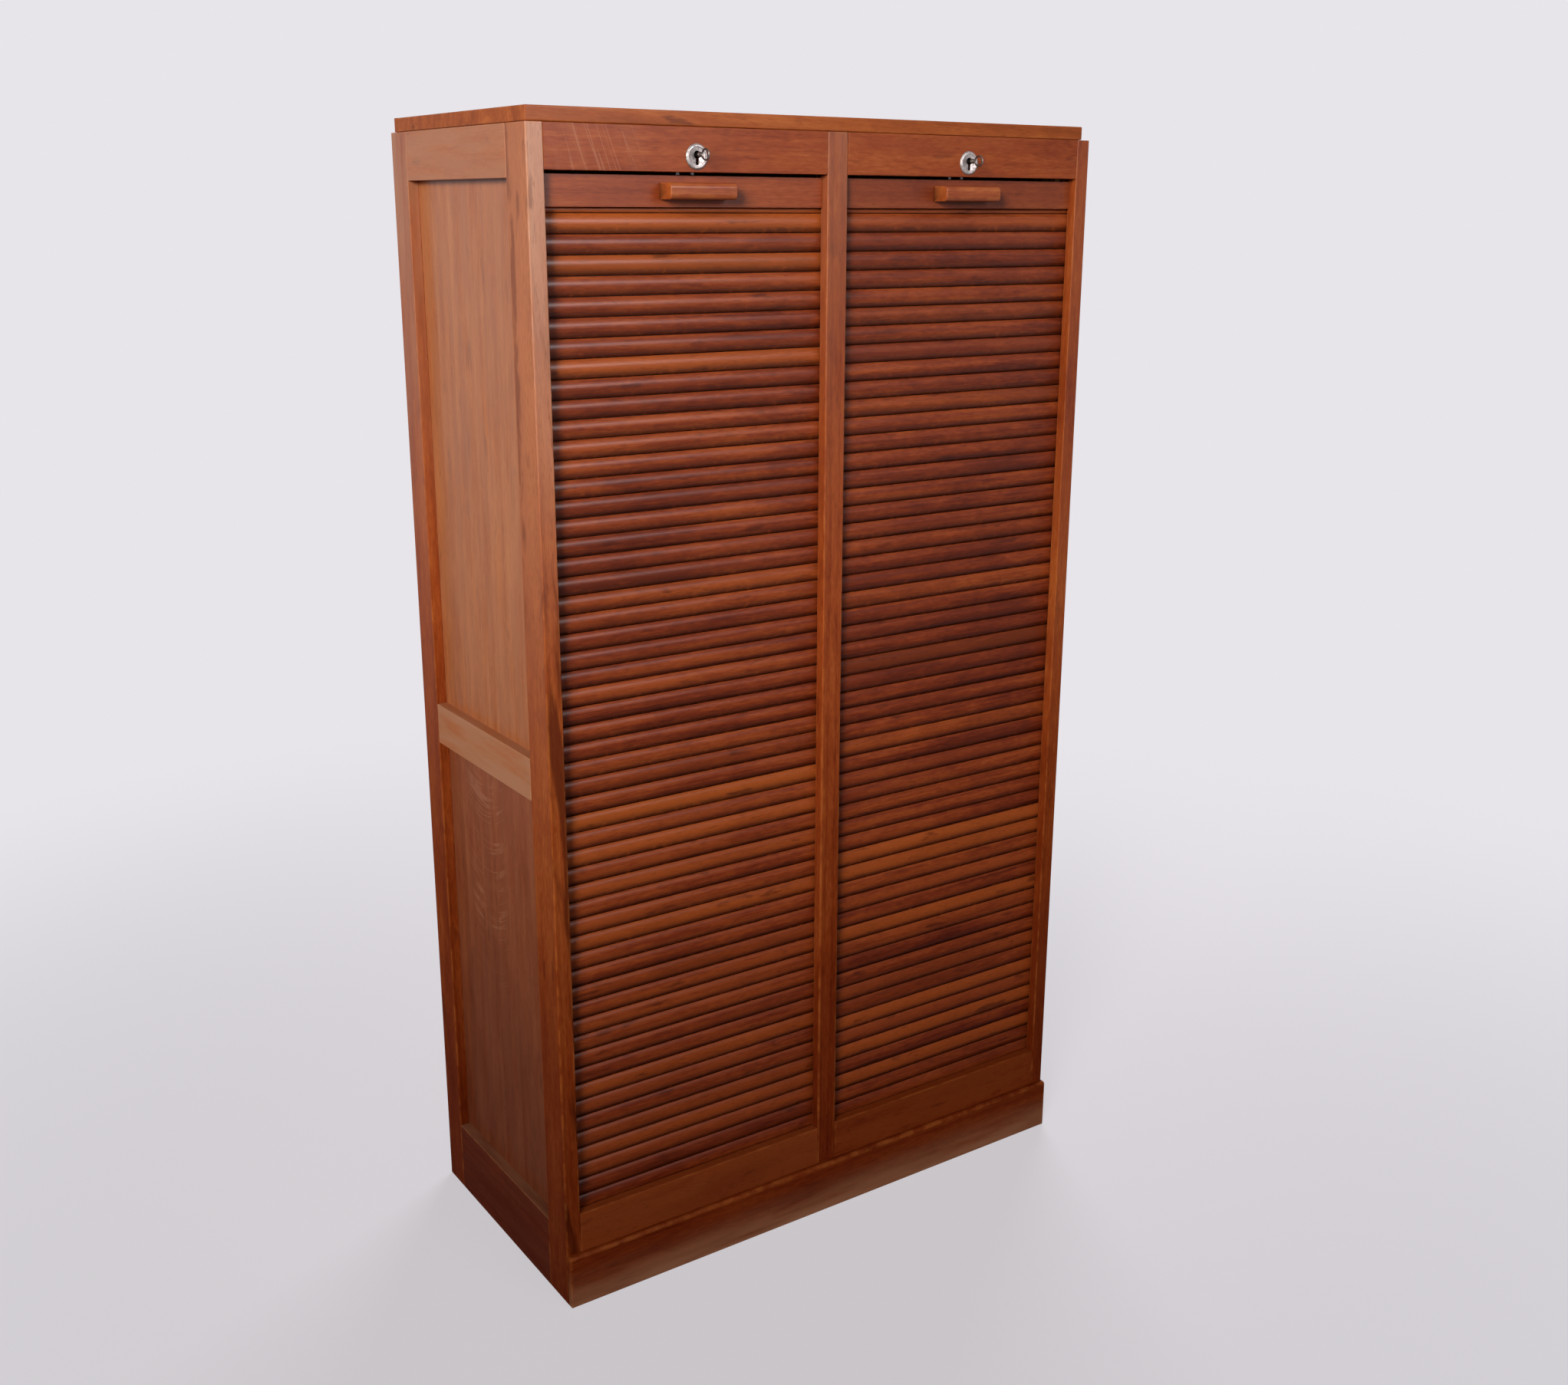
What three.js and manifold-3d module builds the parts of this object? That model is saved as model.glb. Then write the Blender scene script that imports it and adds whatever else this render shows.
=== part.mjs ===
// Tambour door cabinet with two slatted curtains.
// Each curtain runs down in grooves in the posts, turns in the base and goes up behind an inner back.
// Lengths are millimetres. X runs along the front, Y from the front to the back, Z up.

import * as THREE from 'three';
import { mergeVertices } from 'three/addons/utils/BufferGeometryUtils.js';
import Module from 'manifold-3d';

const wasm = await Module();
wasm.setup();

// Carcass
const cabinetWidth = 1000;
const cabinetHeight = 1800;
const cabinetDepth = 460;
const joinGap = 0.3;
const cutOverrunLength = 5;

// Top board, flush at the front and left, set in at the right and back
const topThickness = 20;
const topRightStepWidth = 17;
const topBackStepDepth = 16;

// Posts and dividers
const postThickness = 25;
const frontPostWidth = 63;
const backPostWidth = 55;
const dividerThickness = 36;
const backDividerWidth = 35;

// Side frames
const sideTopRailHeight = 70;
const sideMidRailTopHeight = 895;
const sideMidRailHeight = 66;
const sideBottomRailHeight = 122;
const panelRecessDepth = 17;
const panelThickness = 6;
const panelLapWidth = 6;

// Front rails and plinth
const frontTopRailHeight = 60;
const frontTopRailThickness = 20;
const frontBottomRailTopHeight = 156;
const frontBottomRailFootHeight = 20;
const frontBottomRailThickness = 16;
const plinthHeight = 89;
const plinthThickness = 11;
const plinthRoundRadius = 5;

// Tenons on the ends of the rails
const tenonLength = 12;
const tenonThickness = 8;
const tenonSetbackDepth = 5;
const tenonShoulderWidth = 8;

// Back frame
const backFrameInsetDepth = 4;
const backFrameThickness = 16;
const backTopRailHeight = 80;
const backBottomRailFootHeight = 20;
const backBottomRailHeight = 110;
const backMuntinWidth = 60;
const backPanelThickness = 5;
const backPanelRecessDepth = 6;

// Inner carcass
const liningThickness = 12;
const liningFrontDepth = 36;
const partitionThickness = 18;
const baseClearGap = 10;
const bearerFootHeight = 12;
const linerThickness = 6;
const floorStepHeight = 6;
const floorThickness = 18;
const shelfThickness = 15;
const shelfFrontDepth = 66;
const housingDepth = 4;
const shelvesPerSide = 3;

// Curtain
const slatPitch = 27.65;
const slatSlitWidth = 0.8;
const slatCrownHeight = 5.5;
const slatEdgeThickness = 2;
const canvasThickness = 1;
const curtainFrontDepth = 18.5;
const beadHeight = 8;
const slatsInTail = 4;
const slatArcSteps = 6;

// Track that the ends of the slats run in
const trackWidth = 11.5;
const trackDepth = 9;
const trackEndGap = 1.8;
const trackBendRadius = 60;
const trackLowRunHeight = 29;
const trackToBackFrameGap = 16;
const trackToLinerGap = 22;
const trackBendSteps = 10;

// Lead rail and pull
const leadRailHeight = 42;
const leadRailThickness = 18;
const leadRailFrontDepth = 13;
const leadRailSideGap = 0.8;
const leadRailTopGap = 4.5;
const pullLength = 108;
const pullHeight = 22.5;
const pullReachLength = 32;
const pullRoundRadius = 7;
const pullFootHeight = 10;
const leftPullShiftWidth = 6.5;
const rightPullShiftWidth = -1.5;

// Lock, worked by a key in a round plate
const leftLockShiftWidth = 5;
const rightLockShiftWidth = 1;
const lockCentreRiseHeight = 20.5;
const lockPlateRadius = 17.5;
const lockPlateThickness = 2.6;
const lockPlateEdgeThickness = 0.9;
const lockPlateRimWidth = 5;
const lockPlateDishDepth = 0.8;
const keyholeRiseHeight = 2.5;
const keyholeRadius = 5.2;
const keyholeSlotWidth = 4.6;
const keyholeSlotDepth = 13.5;
const lockCaseWidth = 64;
const lockCaseThickness = 14;
const lockCaseWallThickness = 3;
const lockCaseFootHeight = 2;
const lockCaseHeight = 46;
const roundSteps = 32;
const curveSteps = 16;

// Key
const keyShankRadius = 2.6;
const keyBitLength = 8;
const keyBitWidth = 6.5;
const keyBitThickness = 2.6;
const keyCollarRadius = 3.8;
const keyCollarWidth = 2.4;
const keyNeckLength = 14;
const keyBowLength = 20;
const keyBowHeight = 17;
const keyBowThickness = 2.8;
const keyBowRingWidth = 2.6;

// Bolt with two prongs, and the strike that it enters
const prongSpacingWidth = 24;
const prongShiftWidth = -4;
const prongWidth = 5;
const prongThickness = 4;
const prongCentreDepth = 27;
const prongShowLength = 3.2;
const boltTravelLength = 8;
const boltBarHeight = 7;
const boltRunningGap = 1;
const strikeLength = 48;
const strikeWidth = 8;
const strikeThickness = 1.5;
const strikePocketDepth = 9;

// Places that follow from the sizes
const halfWidth = cabinetWidth / 2;
const halfDivider = dividerThickness / 2;
const topUnderside = cabinetHeight - topThickness;
const postTop = topUnderside - joinGap;
const postInside = halfWidth - postThickness;
const sideBack = cabinetDepth - backPostWidth;
const openingCentre = (postInside + halfDivider) / 2;
const frontTopRailFoot = topUnderside - frontTopRailHeight;
const leadRailTop = frontTopRailFoot - leadRailTopGap;
const leadRailFoot = leadRailTop - leadRailHeight;
const slatsTop = leadRailFoot - beadHeight;
const slatEndReach = trackDepth - trackEndGap;
const trackBendTop = trackLowRunHeight + trackBendRadius;
const slatsInFront = Math.floor((slatsTop - trackBendTop) / slatPitch);
const curtainFoot = slatsTop - slatsInFront * slatPitch;
const curtainThickness = slatCrownHeight + slatEdgeThickness + canvasThickness;
const curtainCentre = curtainFrontDepth + curtainThickness / 2;
const lockCentreHeight = frontTopRailFoot + lockCentreRiseHeight;
const keyAxisHeight = lockCentreHeight + keyholeRiseHeight;
const lockCaseFront = frontTopRailThickness + joinGap;
const lockCaseBack = lockCaseFront + lockCaseThickness;
const lockCaseFoot = frontTopRailFoot + lockCaseFootHeight;
const backFrameBack = cabinetDepth - backFrameInsetDepth;
const backFrameFront = backFrameBack - backFrameThickness;
const backDividerBack = backFrameFront - joinGap;
const backDividerFront = backDividerBack - backDividerWidth;
const trackBackRunDepth = backFrameFront - trackToBackFrameGap;
const linerBack = trackBackRunDepth - trackToLinerGap;
const linerFront = linerBack - linerThickness;
const innerFoot = trackBendTop + baseClearGap;
const floorTop = frontBottomRailTopHeight - floorStepHeight;
const keyReach = keyNeckLength + keyBowLength;

// Finishes
const oakFrame = new THREE.MeshStandardMaterial({ color: 0xa35a2a, roughness: 0.45, metalness: 0 });
const oakPanel = new THREE.MeshStandardMaterial({ color: 0x98522a, roughness: 0.5, metalness: 0 });
const oakSlat = new THREE.MeshStandardMaterial({ color: 0x7a3316, roughness: 0.42, metalness: 0 });
const oakInside = new THREE.MeshStandardMaterial({ color: 0xb98a58, roughness: 0.6, metalness: 0 });
const plywood = new THREE.MeshStandardMaterial({ color: 0xa8764a, roughness: 0.65, metalness: 0 });
const nickel = new THREE.MeshStandardMaterial({ color: 0xc9c4bc, roughness: 0.25, metalness: 1 });
const steel = new THREE.MeshStandardMaterial({ color: 0x6e6660, roughness: 0.4, metalness: 1 });

const cabinet = new THREE.Group();
// The origin is under the middle of the whole object, from the key to the back posts
cabinet.position.y = (keyReach - cabinetDepth) / 2;

function place(name, geometry, material) {
  const mesh = new THREE.Mesh(geometry, material);
  mesh.name = name;
  cabinet.add(mesh);
}

// Ranges and boards. A range is [low, high] along one axis, and a board is a box of three ranges.
function range(from, to) {
  return from < to ? [from, to] : [to, from];
}

function board(x, y, z) {
  const low = new THREE.Vector3(x[0], y[0], z[0]);
  const high = new THREE.Vector3(x[1], y[1], z[1]);
  return new THREE.Box3(low, high);
}

function blockOf(box) {
  const size = box.getSize(new THREE.Vector3());
  const middle = box.getCenter(new THREE.Vector3());
  const geometry = new THREE.BoxGeometry(size.x, size.y, size.z);
  geometry.translate(middle.x, middle.y, middle.z);
  return geometry;
}

function roomFor(box) {
  return blockOf(box.clone().expandByScalar(joinGap));
}

// Solids for joining and cutting
function toSolid(geometry) {
  const bare = geometry.clone();
  bare.deleteAttribute('normal');
  bare.deleteAttribute('uv');
  const joined = mergeVertices(bare);
  const corners = joined.index.array;
  const faces = [];
  for (let i = 0; i < corners.length; i += 3) {
    const [a, b, c] = corners.slice(i, i + 3);
    if (a !== b && b !== c && c !== a) faces.push(a, b, c);
  }
  const vertProperties = joined.attributes.position.array;
  const triVerts = new Uint32Array(faces);
  return new wasm.Manifold(new wasm.Mesh({ numProp: 3, vertProperties, triVerts }));
}

function toGeometry(solid) {
  const mesh = solid.getMesh();
  const geometry = new THREE.BufferGeometry();
  geometry.setAttribute('position', new THREE.BufferAttribute(mesh.vertProperties, mesh.numProp));
  geometry.setIndex(new THREE.BufferAttribute(mesh.triVerts, 1));
  return geometry;
}

function shaped(base, additions, cuts) {
  let solid = toSolid(base);
  for (const addition of additions) solid = solid.add(toSolid(addition));
  for (const cut of cuts) solid = solid.subtract(toSolid(cut));
  return toGeometry(solid);
}

// Outlines carried along an axis
function alongX(outline, x) {
  const options = { depth: x[1] - x[0], bevelEnabled: false, curveSegments: curveSteps };
  const geometry = new THREE.ExtrudeGeometry(outline, options);
  const turn = new THREE.Matrix4();
  turn.makeBasis(new THREE.Vector3(0, 1, 0), new THREE.Vector3(0, 0, 1), new THREE.Vector3(1, 0, 0));
  geometry.applyMatrix4(turn);
  geometry.translate(x[0], 0, 0);
  return geometry;
}

function alongY(outline, y) {
  const options = { depth: y[1] - y[0], bevelEnabled: false, curveSegments: curveSteps };
  const geometry = new THREE.ExtrudeGeometry(outline, options);
  const turn = new THREE.Matrix4();
  turn.makeBasis(new THREE.Vector3(1, 0, 0), new THREE.Vector3(0, 0, 1), new THREE.Vector3(0, -1, 0));
  geometry.applyMatrix4(turn);
  geometry.translate(0, y[1], 0);
  return geometry;
}

// Tenons. The thin axis is the one that the tenon is set back on, from the show face.
function tenon(rail, alongAxis, end, thinAxis, showFace, heightAxis) {
  const box = rail.clone();
  const outer = end < 0 ? rail.min[alongAxis] : rail.max[alongAxis];
  const ends = range(outer - end * cutOverrunLength, outer + end * tenonLength);
  box.min[alongAxis] = ends[0];
  box.max[alongAxis] = ends[1];
  const show = showFace < 0 ? rail.min[thinAxis] : rail.max[thinAxis];
  const nearFace = show - showFace * tenonSetbackDepth;
  const thin = range(nearFace, nearFace - showFace * tenonThickness);
  box.min[thinAxis] = thin[0];
  box.max[thinAxis] = thin[1];
  box.min[heightAxis] += tenonShoulderWidth;
  box.max[heightAxis] -= tenonShoulderWidth;
  return box;
}

function tenonPair(rail, alongAxis, thinAxis, showFace, heightAxis) {
  return [-1, 1].map((end) => tenon(rail, alongAxis, end, thinAxis, showFace, heightAxis));
}

// Path of the curtain: down the front, round the base and up the back.
// A place on it is given by the distance travelled and by how far it lies behind the middle of the curtain.
const frontRun = frontTopRailFoot - joinGap - trackBendTop;
const bendRun = (Math.PI / 2) * trackBendRadius;
const lowRun = trackBackRunDepth - curtainCentre - 2 * trackBendRadius;
const wholeCurtain = slatsTop - curtainFoot + slatsInTail * slatPitch;
const openLead = frontTopRailFoot - frontBottomRailTopHeight;
const backRun = wholeCurtain - (frontRun - openLead) - bendRun * 2 - lowRun + slatPitch;
const pathLength = frontRun + bendRun * 2 + lowRun + backRun;

function pathPoint(travelled, behind) {
  const arcRadius = trackBendRadius - behind;
  if (travelled < frontRun) {
    return new THREE.Vector2(curtainCentre + behind, trackBendTop + frontRun - travelled);
  }
  if (travelled < frontRun + bendRun) {
    const angle = (travelled - frontRun) / trackBendRadius;
    const y = curtainCentre + trackBendRadius - arcRadius * Math.cos(angle);
    return new THREE.Vector2(y, trackBendTop - arcRadius * Math.sin(angle));
  }
  if (travelled < frontRun + bendRun + lowRun) {
    const y = curtainCentre + trackBendRadius + travelled - frontRun - bendRun;
    return new THREE.Vector2(y, trackLowRunHeight + behind);
  }
  if (travelled < frontRun + bendRun * 2 + lowRun) {
    const angle = (travelled - frontRun - bendRun - lowRun) / trackBendRadius;
    const y = trackBackRunDepth - trackBendRadius + arcRadius * Math.sin(angle);
    return new THREE.Vector2(y, trackBendTop - arcRadius * Math.cos(angle));
  }
  const risen = travelled - frontRun - bendRun * 2 - lowRun;
  return new THREE.Vector2(trackBackRunDepth - behind, trackBendTop + risen);
}

function trackOutline() {
  const stations = [0, frontRun];
  for (let i = 1; i <= trackBendSteps; i += 1) stations.push(frontRun + (bendRun * i) / trackBendSteps);
  const secondBend = frontRun + bendRun + lowRun;
  for (let i = 0; i <= trackBendSteps; i += 1) stations.push(secondBend + (bendRun * i) / trackBendSteps);
  stations.push(pathLength);
  const outer = stations.map((s) => pathPoint(s, -trackWidth / 2));
  const inner = stations.map((s) => pathPoint(s, trackWidth / 2));
  return new THREE.Shape([...outer, ...inner.reverse()]);
}

// The groove in the face at the given X, cut towards the given side
function trackGroove(face, side) {
  return alongX(trackOutline(), range(face - side * cutOverrunLength, face + side * trackDepth));
}

// Top board
const topX = range(-halfWidth, halfWidth - topRightStepWidth);
const topY = range(0, cabinetDepth - topBackStepDepth);
place('top_board', blockOf(board(topX, topY, range(topUnderside, cabinetHeight))), oakFrame);

// Side frames: two posts, three rails and two panels on each side
function sideFrame(side, label) {
  const frameX = range(side * halfWidth, side * postInside);
  const frontPost = board(frameX, range(0, frontPostWidth), range(0, postTop));
  const backPost = board(frameX, range(sideBack, cabinetDepth), range(0, postTop));
  const railY = range(frontPostWidth + joinGap, sideBack - joinGap);
  const midFoot = sideMidRailTopHeight - sideMidRailHeight;
  const rails = {
    top: board(frameX, railY, range(topUnderside - sideTopRailHeight, postTop)),
    mid: board(frameX, railY, range(midFoot, sideMidRailTopHeight)),
    bottom: board(frameX, railY, range(0, sideBottomRailHeight)),
  };
  const panelFace = side * (halfWidth - panelRecessDepth);
  const panelX = range(panelFace, panelFace - side * panelThickness);
  const panelY = range(frontPostWidth - panelLapWidth, sideBack + panelLapWidth);
  const upper = range(sideMidRailTopHeight - panelLapWidth, rails.top.min.z + panelLapWidth);
  const lower = range(sideBottomRailHeight - panelLapWidth, midFoot + panelLapWidth);
  const panels = { upper: board(panelX, panelY, upper), lower: board(panelX, panelY, lower) };
  // Each panel lies in a rebate that is open to the inside
  const rebates = Object.values(panels).map((panel) => {
    const rebate = panel.clone().expandByScalar(joinGap);
    const open = range(panelFace + side * joinGap, side * (postInside - cutOverrunLength));
    rebate.min.x = open[0];
    rebate.max.x = open[1];
    return blockOf(rebate);
  });
  const tenons = Object.values(rails).flatMap((rail) => tenonPair(rail, 'y', 'x', side, 'z'));
  const mortises = [...tenons, ...frontTenons].map(roomFor);
  const groove = trackGroove(side * postInside, side);
  place(`front_post_${label}`, shaped(blockOf(frontPost), [], [...mortises, ...rebates, groove]), oakFrame);
  const backCuts = [...mortises, ...backTenons.map(roomFor), ...backPanels.map(roomFor), ...rebates, groove];
  place(`back_post_${label}`, shaped(blockOf(backPost), [], backCuts), oakFrame);
  for (const [name, rail] of Object.entries(rails)) {
    const ends = tenonPair(rail, 'y', 'x', side, 'z').map(blockOf);
    place(`side_${name}_rail_${label}`, shaped(blockOf(rail), ends, [...rebates, groove]), oakFrame);
  }
  for (const [name, panel] of Object.entries(panels)) {
    place(`side_${name}_panel_${label}`, blockOf(panel), oakPanel);
  }
}

// Front rails, over and under each curtain
const railX = (side) => range(side * (halfDivider + joinGap), side * (postInside - joinGap));
const frontTopRail = (side) => {
  return board(railX(side), range(0, frontTopRailThickness), range(frontTopRailFoot, postTop));
};
const frontBottomRail = (side) => {
  const rise = range(frontBottomRailFootHeight, frontBottomRailTopHeight);
  return board(railX(side), range(0, frontBottomRailThickness), rise);
};
const frontTenons = [-1, 1].flatMap((side) => {
  return [frontTopRail(side), frontBottomRail(side)].flatMap((rail) => tenonPair(rail, 'x', 'y', -1, 'z'));
});

// Back frame: two rails, a muntin and two panels
const backX = range(-postInside + joinGap, postInside - joinGap);
const backY = range(backFrameFront, backFrameBack);
const backBottomRailTop = backBottomRailFootHeight + backBottomRailHeight;
const backTopRailFoot = topUnderside - backTopRailHeight;
const backTopRail = board(backX, backY, range(backTopRailFoot, postTop));
const backBottomRail = board(backX, backY, range(backBottomRailFootHeight, backBottomRailTop));
const muntinX = range(-backMuntinWidth / 2, backMuntinWidth / 2);
const backMuntin = board(muntinX, backY, range(backBottomRailTop + joinGap, backTopRailFoot - joinGap));
const backPanelBack = backFrameBack - backPanelRecessDepth;
const backPanels = [-1, 1].map((side) => {
  const x = range(side * (backMuntinWidth / 2 - panelLapWidth), side * (postInside + panelLapWidth));
  const y = range(backPanelBack - backPanelThickness, backPanelBack);
  return board(x, y, range(backBottomRailTop - panelLapWidth, backTopRailFoot + panelLapWidth));
});
const backTenons = [backTopRail, backBottomRail].flatMap((rail) => tenonPair(rail, 'x', 'y', 1, 'z'));
const muntinTenons = tenonPair(backMuntin, 'z', 'y', 1, 'x');

function backFrame() {
  const panelRooms = backPanels.map(roomFor);
  const muntinRooms = muntinTenons.map(roomFor);
  for (const [name, rail] of [['back_top_rail', backTopRail], ['back_bottom_rail', backBottomRail]]) {
    const ends = tenonPair(rail, 'x', 'y', 1, 'z').map(blockOf);
    place(name, shaped(blockOf(rail), ends, [...panelRooms, ...muntinRooms]), oakFrame);
  }
  place('back_muntin', shaped(blockOf(backMuntin), muntinTenons.map(blockOf), panelRooms), oakFrame);
  place('back_panel_left', blockOf(backPanels[0]), plywood);
  place('back_panel_right', blockOf(backPanels[1]), plywood);
}

// Middle of the cabinet: front divider, back divider and the bearer between them in the base
function middleFrame() {
  const x = range(-halfDivider, halfDivider);
  const divider = board(x, range(0, frontPostWidth), range(0, postTop));
  const backDivider = board(x, range(backDividerFront, backDividerBack), range(0, postTop));
  const bearerY = range(frontPostWidth + joinGap, backDividerFront - joinGap);
  const bearer = board(x, bearerY, range(bearerFootHeight, innerFoot - joinGap));
  const bearerTenons = [-1, 1].map((end) => {
    const box = tenon(bearer, 'y', end, 'x', -1, 'z');
    box.min.x = -tenonThickness / 2;
    box.max.x = tenonThickness / 2;
    return box;
  });
  const bearerRooms = bearerTenons.map(roomFor);
  const grooves = [-1, 1].map((side) => trackGroove(side * halfDivider, -side));
  const frontRooms = frontTenons.map(roomFor);
  place('divider_post', shaped(blockOf(divider), [], [...frontRooms, ...bearerRooms, ...grooves]), oakFrame);
  place('back_divider_post', shaped(blockOf(backDivider), [], [...bearerRooms, ...grooves]), oakFrame);
  place('centre_bearer', shaped(blockOf(bearer), bearerTenons.map(blockOf), grooves), oakInside);
}

// Plinth along the whole front, round along its upper front edge
function plinth() {
  const outline = new THREE.Shape();
  outline.moveTo(-plinthThickness, 0);
  outline.lineTo(-joinGap, 0);
  outline.lineTo(-joinGap, plinthHeight);
  outline.lineTo(plinthRoundRadius - plinthThickness, plinthHeight);
  const centreY = plinthRoundRadius - plinthThickness;
  outline.absarc(centreY, plinthHeight - plinthRoundRadius, plinthRoundRadius, Math.PI / 2, Math.PI, false);
  outline.lineTo(-plinthThickness, 0);
  place('plinth', alongX(outline, range(-halfWidth, halfWidth)), oakFrame);
}

// Inner carcass: linings, partition, floors, shelves and the inner backs that hide the open curtains
const liningFace = postInside - joinGap - liningThickness;
const halfPartition = partitionThickness / 2;
const shelfX = (side) => {
  return range(side * (liningFace + housingDepth - joinGap), side * (halfPartition - housingDepth + joinGap));
};
const shelfGap = (topUnderside - floorTop - shelvesPerSide * shelfThickness) / (shelvesPerSide + 1);

function shelfBoards(side) {
  const y = range(shelfFrontDepth, linerFront - joinGap);
  const boards = [board(shelfX(side), y, range(floorTop - floorThickness, floorTop))];
  for (let i = 0; i < shelvesPerSide; i += 1) {
    const foot = floorTop + shelfGap + i * (shelfGap + shelfThickness);
    boards.push(board(shelfX(side), y, range(foot, foot + shelfThickness)));
  }
  return boards;
}

function innerCarcass() {
  const innerTop = topUnderside - joinGap;
  const rise = range(innerFoot, innerTop);
  const housings = [...shelfBoards(-1), ...shelfBoards(1)].map(roomFor);
  const partitionY = range(frontPostWidth + joinGap, backDividerFront - joinGap);
  const partition = board(range(-halfPartition, halfPartition), partitionY, rise);
  place('centre_partition', shaped(blockOf(partition), [], housings), oakInside);
  for (const [side, label] of [[-1, 'left'], [1, 'right']]) {
    const liningX = range(side * liningFace, side * (liningFace + liningThickness));
    const lining = board(liningX, range(liningFrontDepth, linerFront - joinGap), rise);
    place(`side_lining_${label}`, shaped(blockOf(lining), [], housings), oakInside);
    const linerX = range(side * (halfPartition + joinGap), side * (postInside - joinGap));
    place(`inner_back_${label}`, blockOf(board(linerX, range(linerFront, linerBack), rise)), plywood);
    shelfBoards(side).forEach((shelf, i) => {
      const name = i === 0 ? `floor_board_${label}` : `shelf_${label}_${i}`;
      place(name, blockOf(shelf), oakInside);
    });
  }
}

// Curtain outline. Slats stand on canvas, side by side, with a slit between them that reaches the canvas.
const canvasFront = curtainThickness / 2 - canvasThickness;
const slatFoot = canvasFront - slatEdgeThickness;
const canvasBack = curtainThickness / 2;

function slatPoints(start, length) {
  const points = [];
  const crown = (slatCrownHeight * length) / (slatPitch - slatSlitWidth);
  const radius = (length * length) / (8 * crown) + crown / 2;
  const halfAngle = Math.asin(length / 2 / radius);
  points.push([start, canvasFront]);
  for (let i = 0; i <= slatArcSteps; i += 1) {
    const angle = halfAngle * ((2 * i) / slatArcSteps - 1);
    const along = start + length / 2 + radius * Math.sin(angle);
    points.push([along, slatFoot - (radius * Math.cos(angle) - (radius - crown))]);
  }
  points.push([start + length, canvasFront]);
  return points;
}

function curtainOutline(start, lengths) {
  const front = [];
  let along = start;
  for (const length of lengths) {
    front.push(...slatPoints(along, length - slatSlitWidth));
    along += length;
  }
  const end = along - slatSlitWidth;
  const backSteps = Math.ceil((end - start) / slatPitch) * 2;
  const back = [];
  for (let i = backSteps; i >= 0; i -= 1) back.push([start + ((end - start) * i) / backSteps, canvasBack]);
  return [...front, ...back];
}

function curtainShape(points) {
  return new THREE.Shape(points.map(([along, behind]) => pathPoint(along, behind)));
}

const curtainStart = frontTopRailFoot - leadRailFoot;
const tailStart = frontTopRailFoot - curtainFoot - slatSlitWidth;

function slatCurtain(side, label) {
  const x = range(side * (halfDivider - slatEndReach), side * (postInside + slatEndReach));
  // The straight run has its canvas as one flat face, so two points are enough behind it
  const lengths = [beadHeight - joinGap, ...Array(slatsInFront).fill(slatPitch)];
  const points = curtainOutline(curtainStart, lengths);
  const straight = points.filter(([, behind], i) => {
    return behind !== canvasBack || i === points.length - 1 || points[i - 1][1] !== canvasBack;
  });
  place(`slat_curtain_${label}`, alongX(curtainShape(straight), x), oakSlat);
  const tail = curtainOutline(tailStart, Array(slatsInTail).fill(slatPitch));
  place(`curtain_tail_${label}`, alongX(curtainShape(tail), x), oakSlat);
}

// Lead rail with tongues that run in the track, its pull and the strike for the bolt
const pullCentre = (side) => side * openingCentre + (side < 0 ? leftPullShiftWidth : rightPullShiftWidth);
const lockCentre = (side) => side * openingCentre + (side < 0 ? leftLockShiftWidth : rightLockShiftWidth);
const prongMiddle = (side) => lockCentre(side) + prongShiftWidth;
const strikeFront = prongCentreDepth - strikeWidth / 2;
const strikeBack = prongCentreDepth + strikeWidth / 2;
const prongFront = prongCentreDepth - prongThickness / 2;
const prongBack = prongCentreDepth + prongThickness / 2;
const prongY = range(prongFront, prongBack);
const prongSlotY = range(prongFront - boltRunningGap / 2, prongBack + boltRunningGap / 2);

function prongBoxes(side, y, z, sideways) {
  return [-1, 1].map((end) => {
    const centre = prongMiddle(side) + (end * prongSpacingWidth) / 2;
    const half = prongWidth / 2 + sideways;
    return board(range(centre - half, centre + half), y, z);
  });
}

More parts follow.
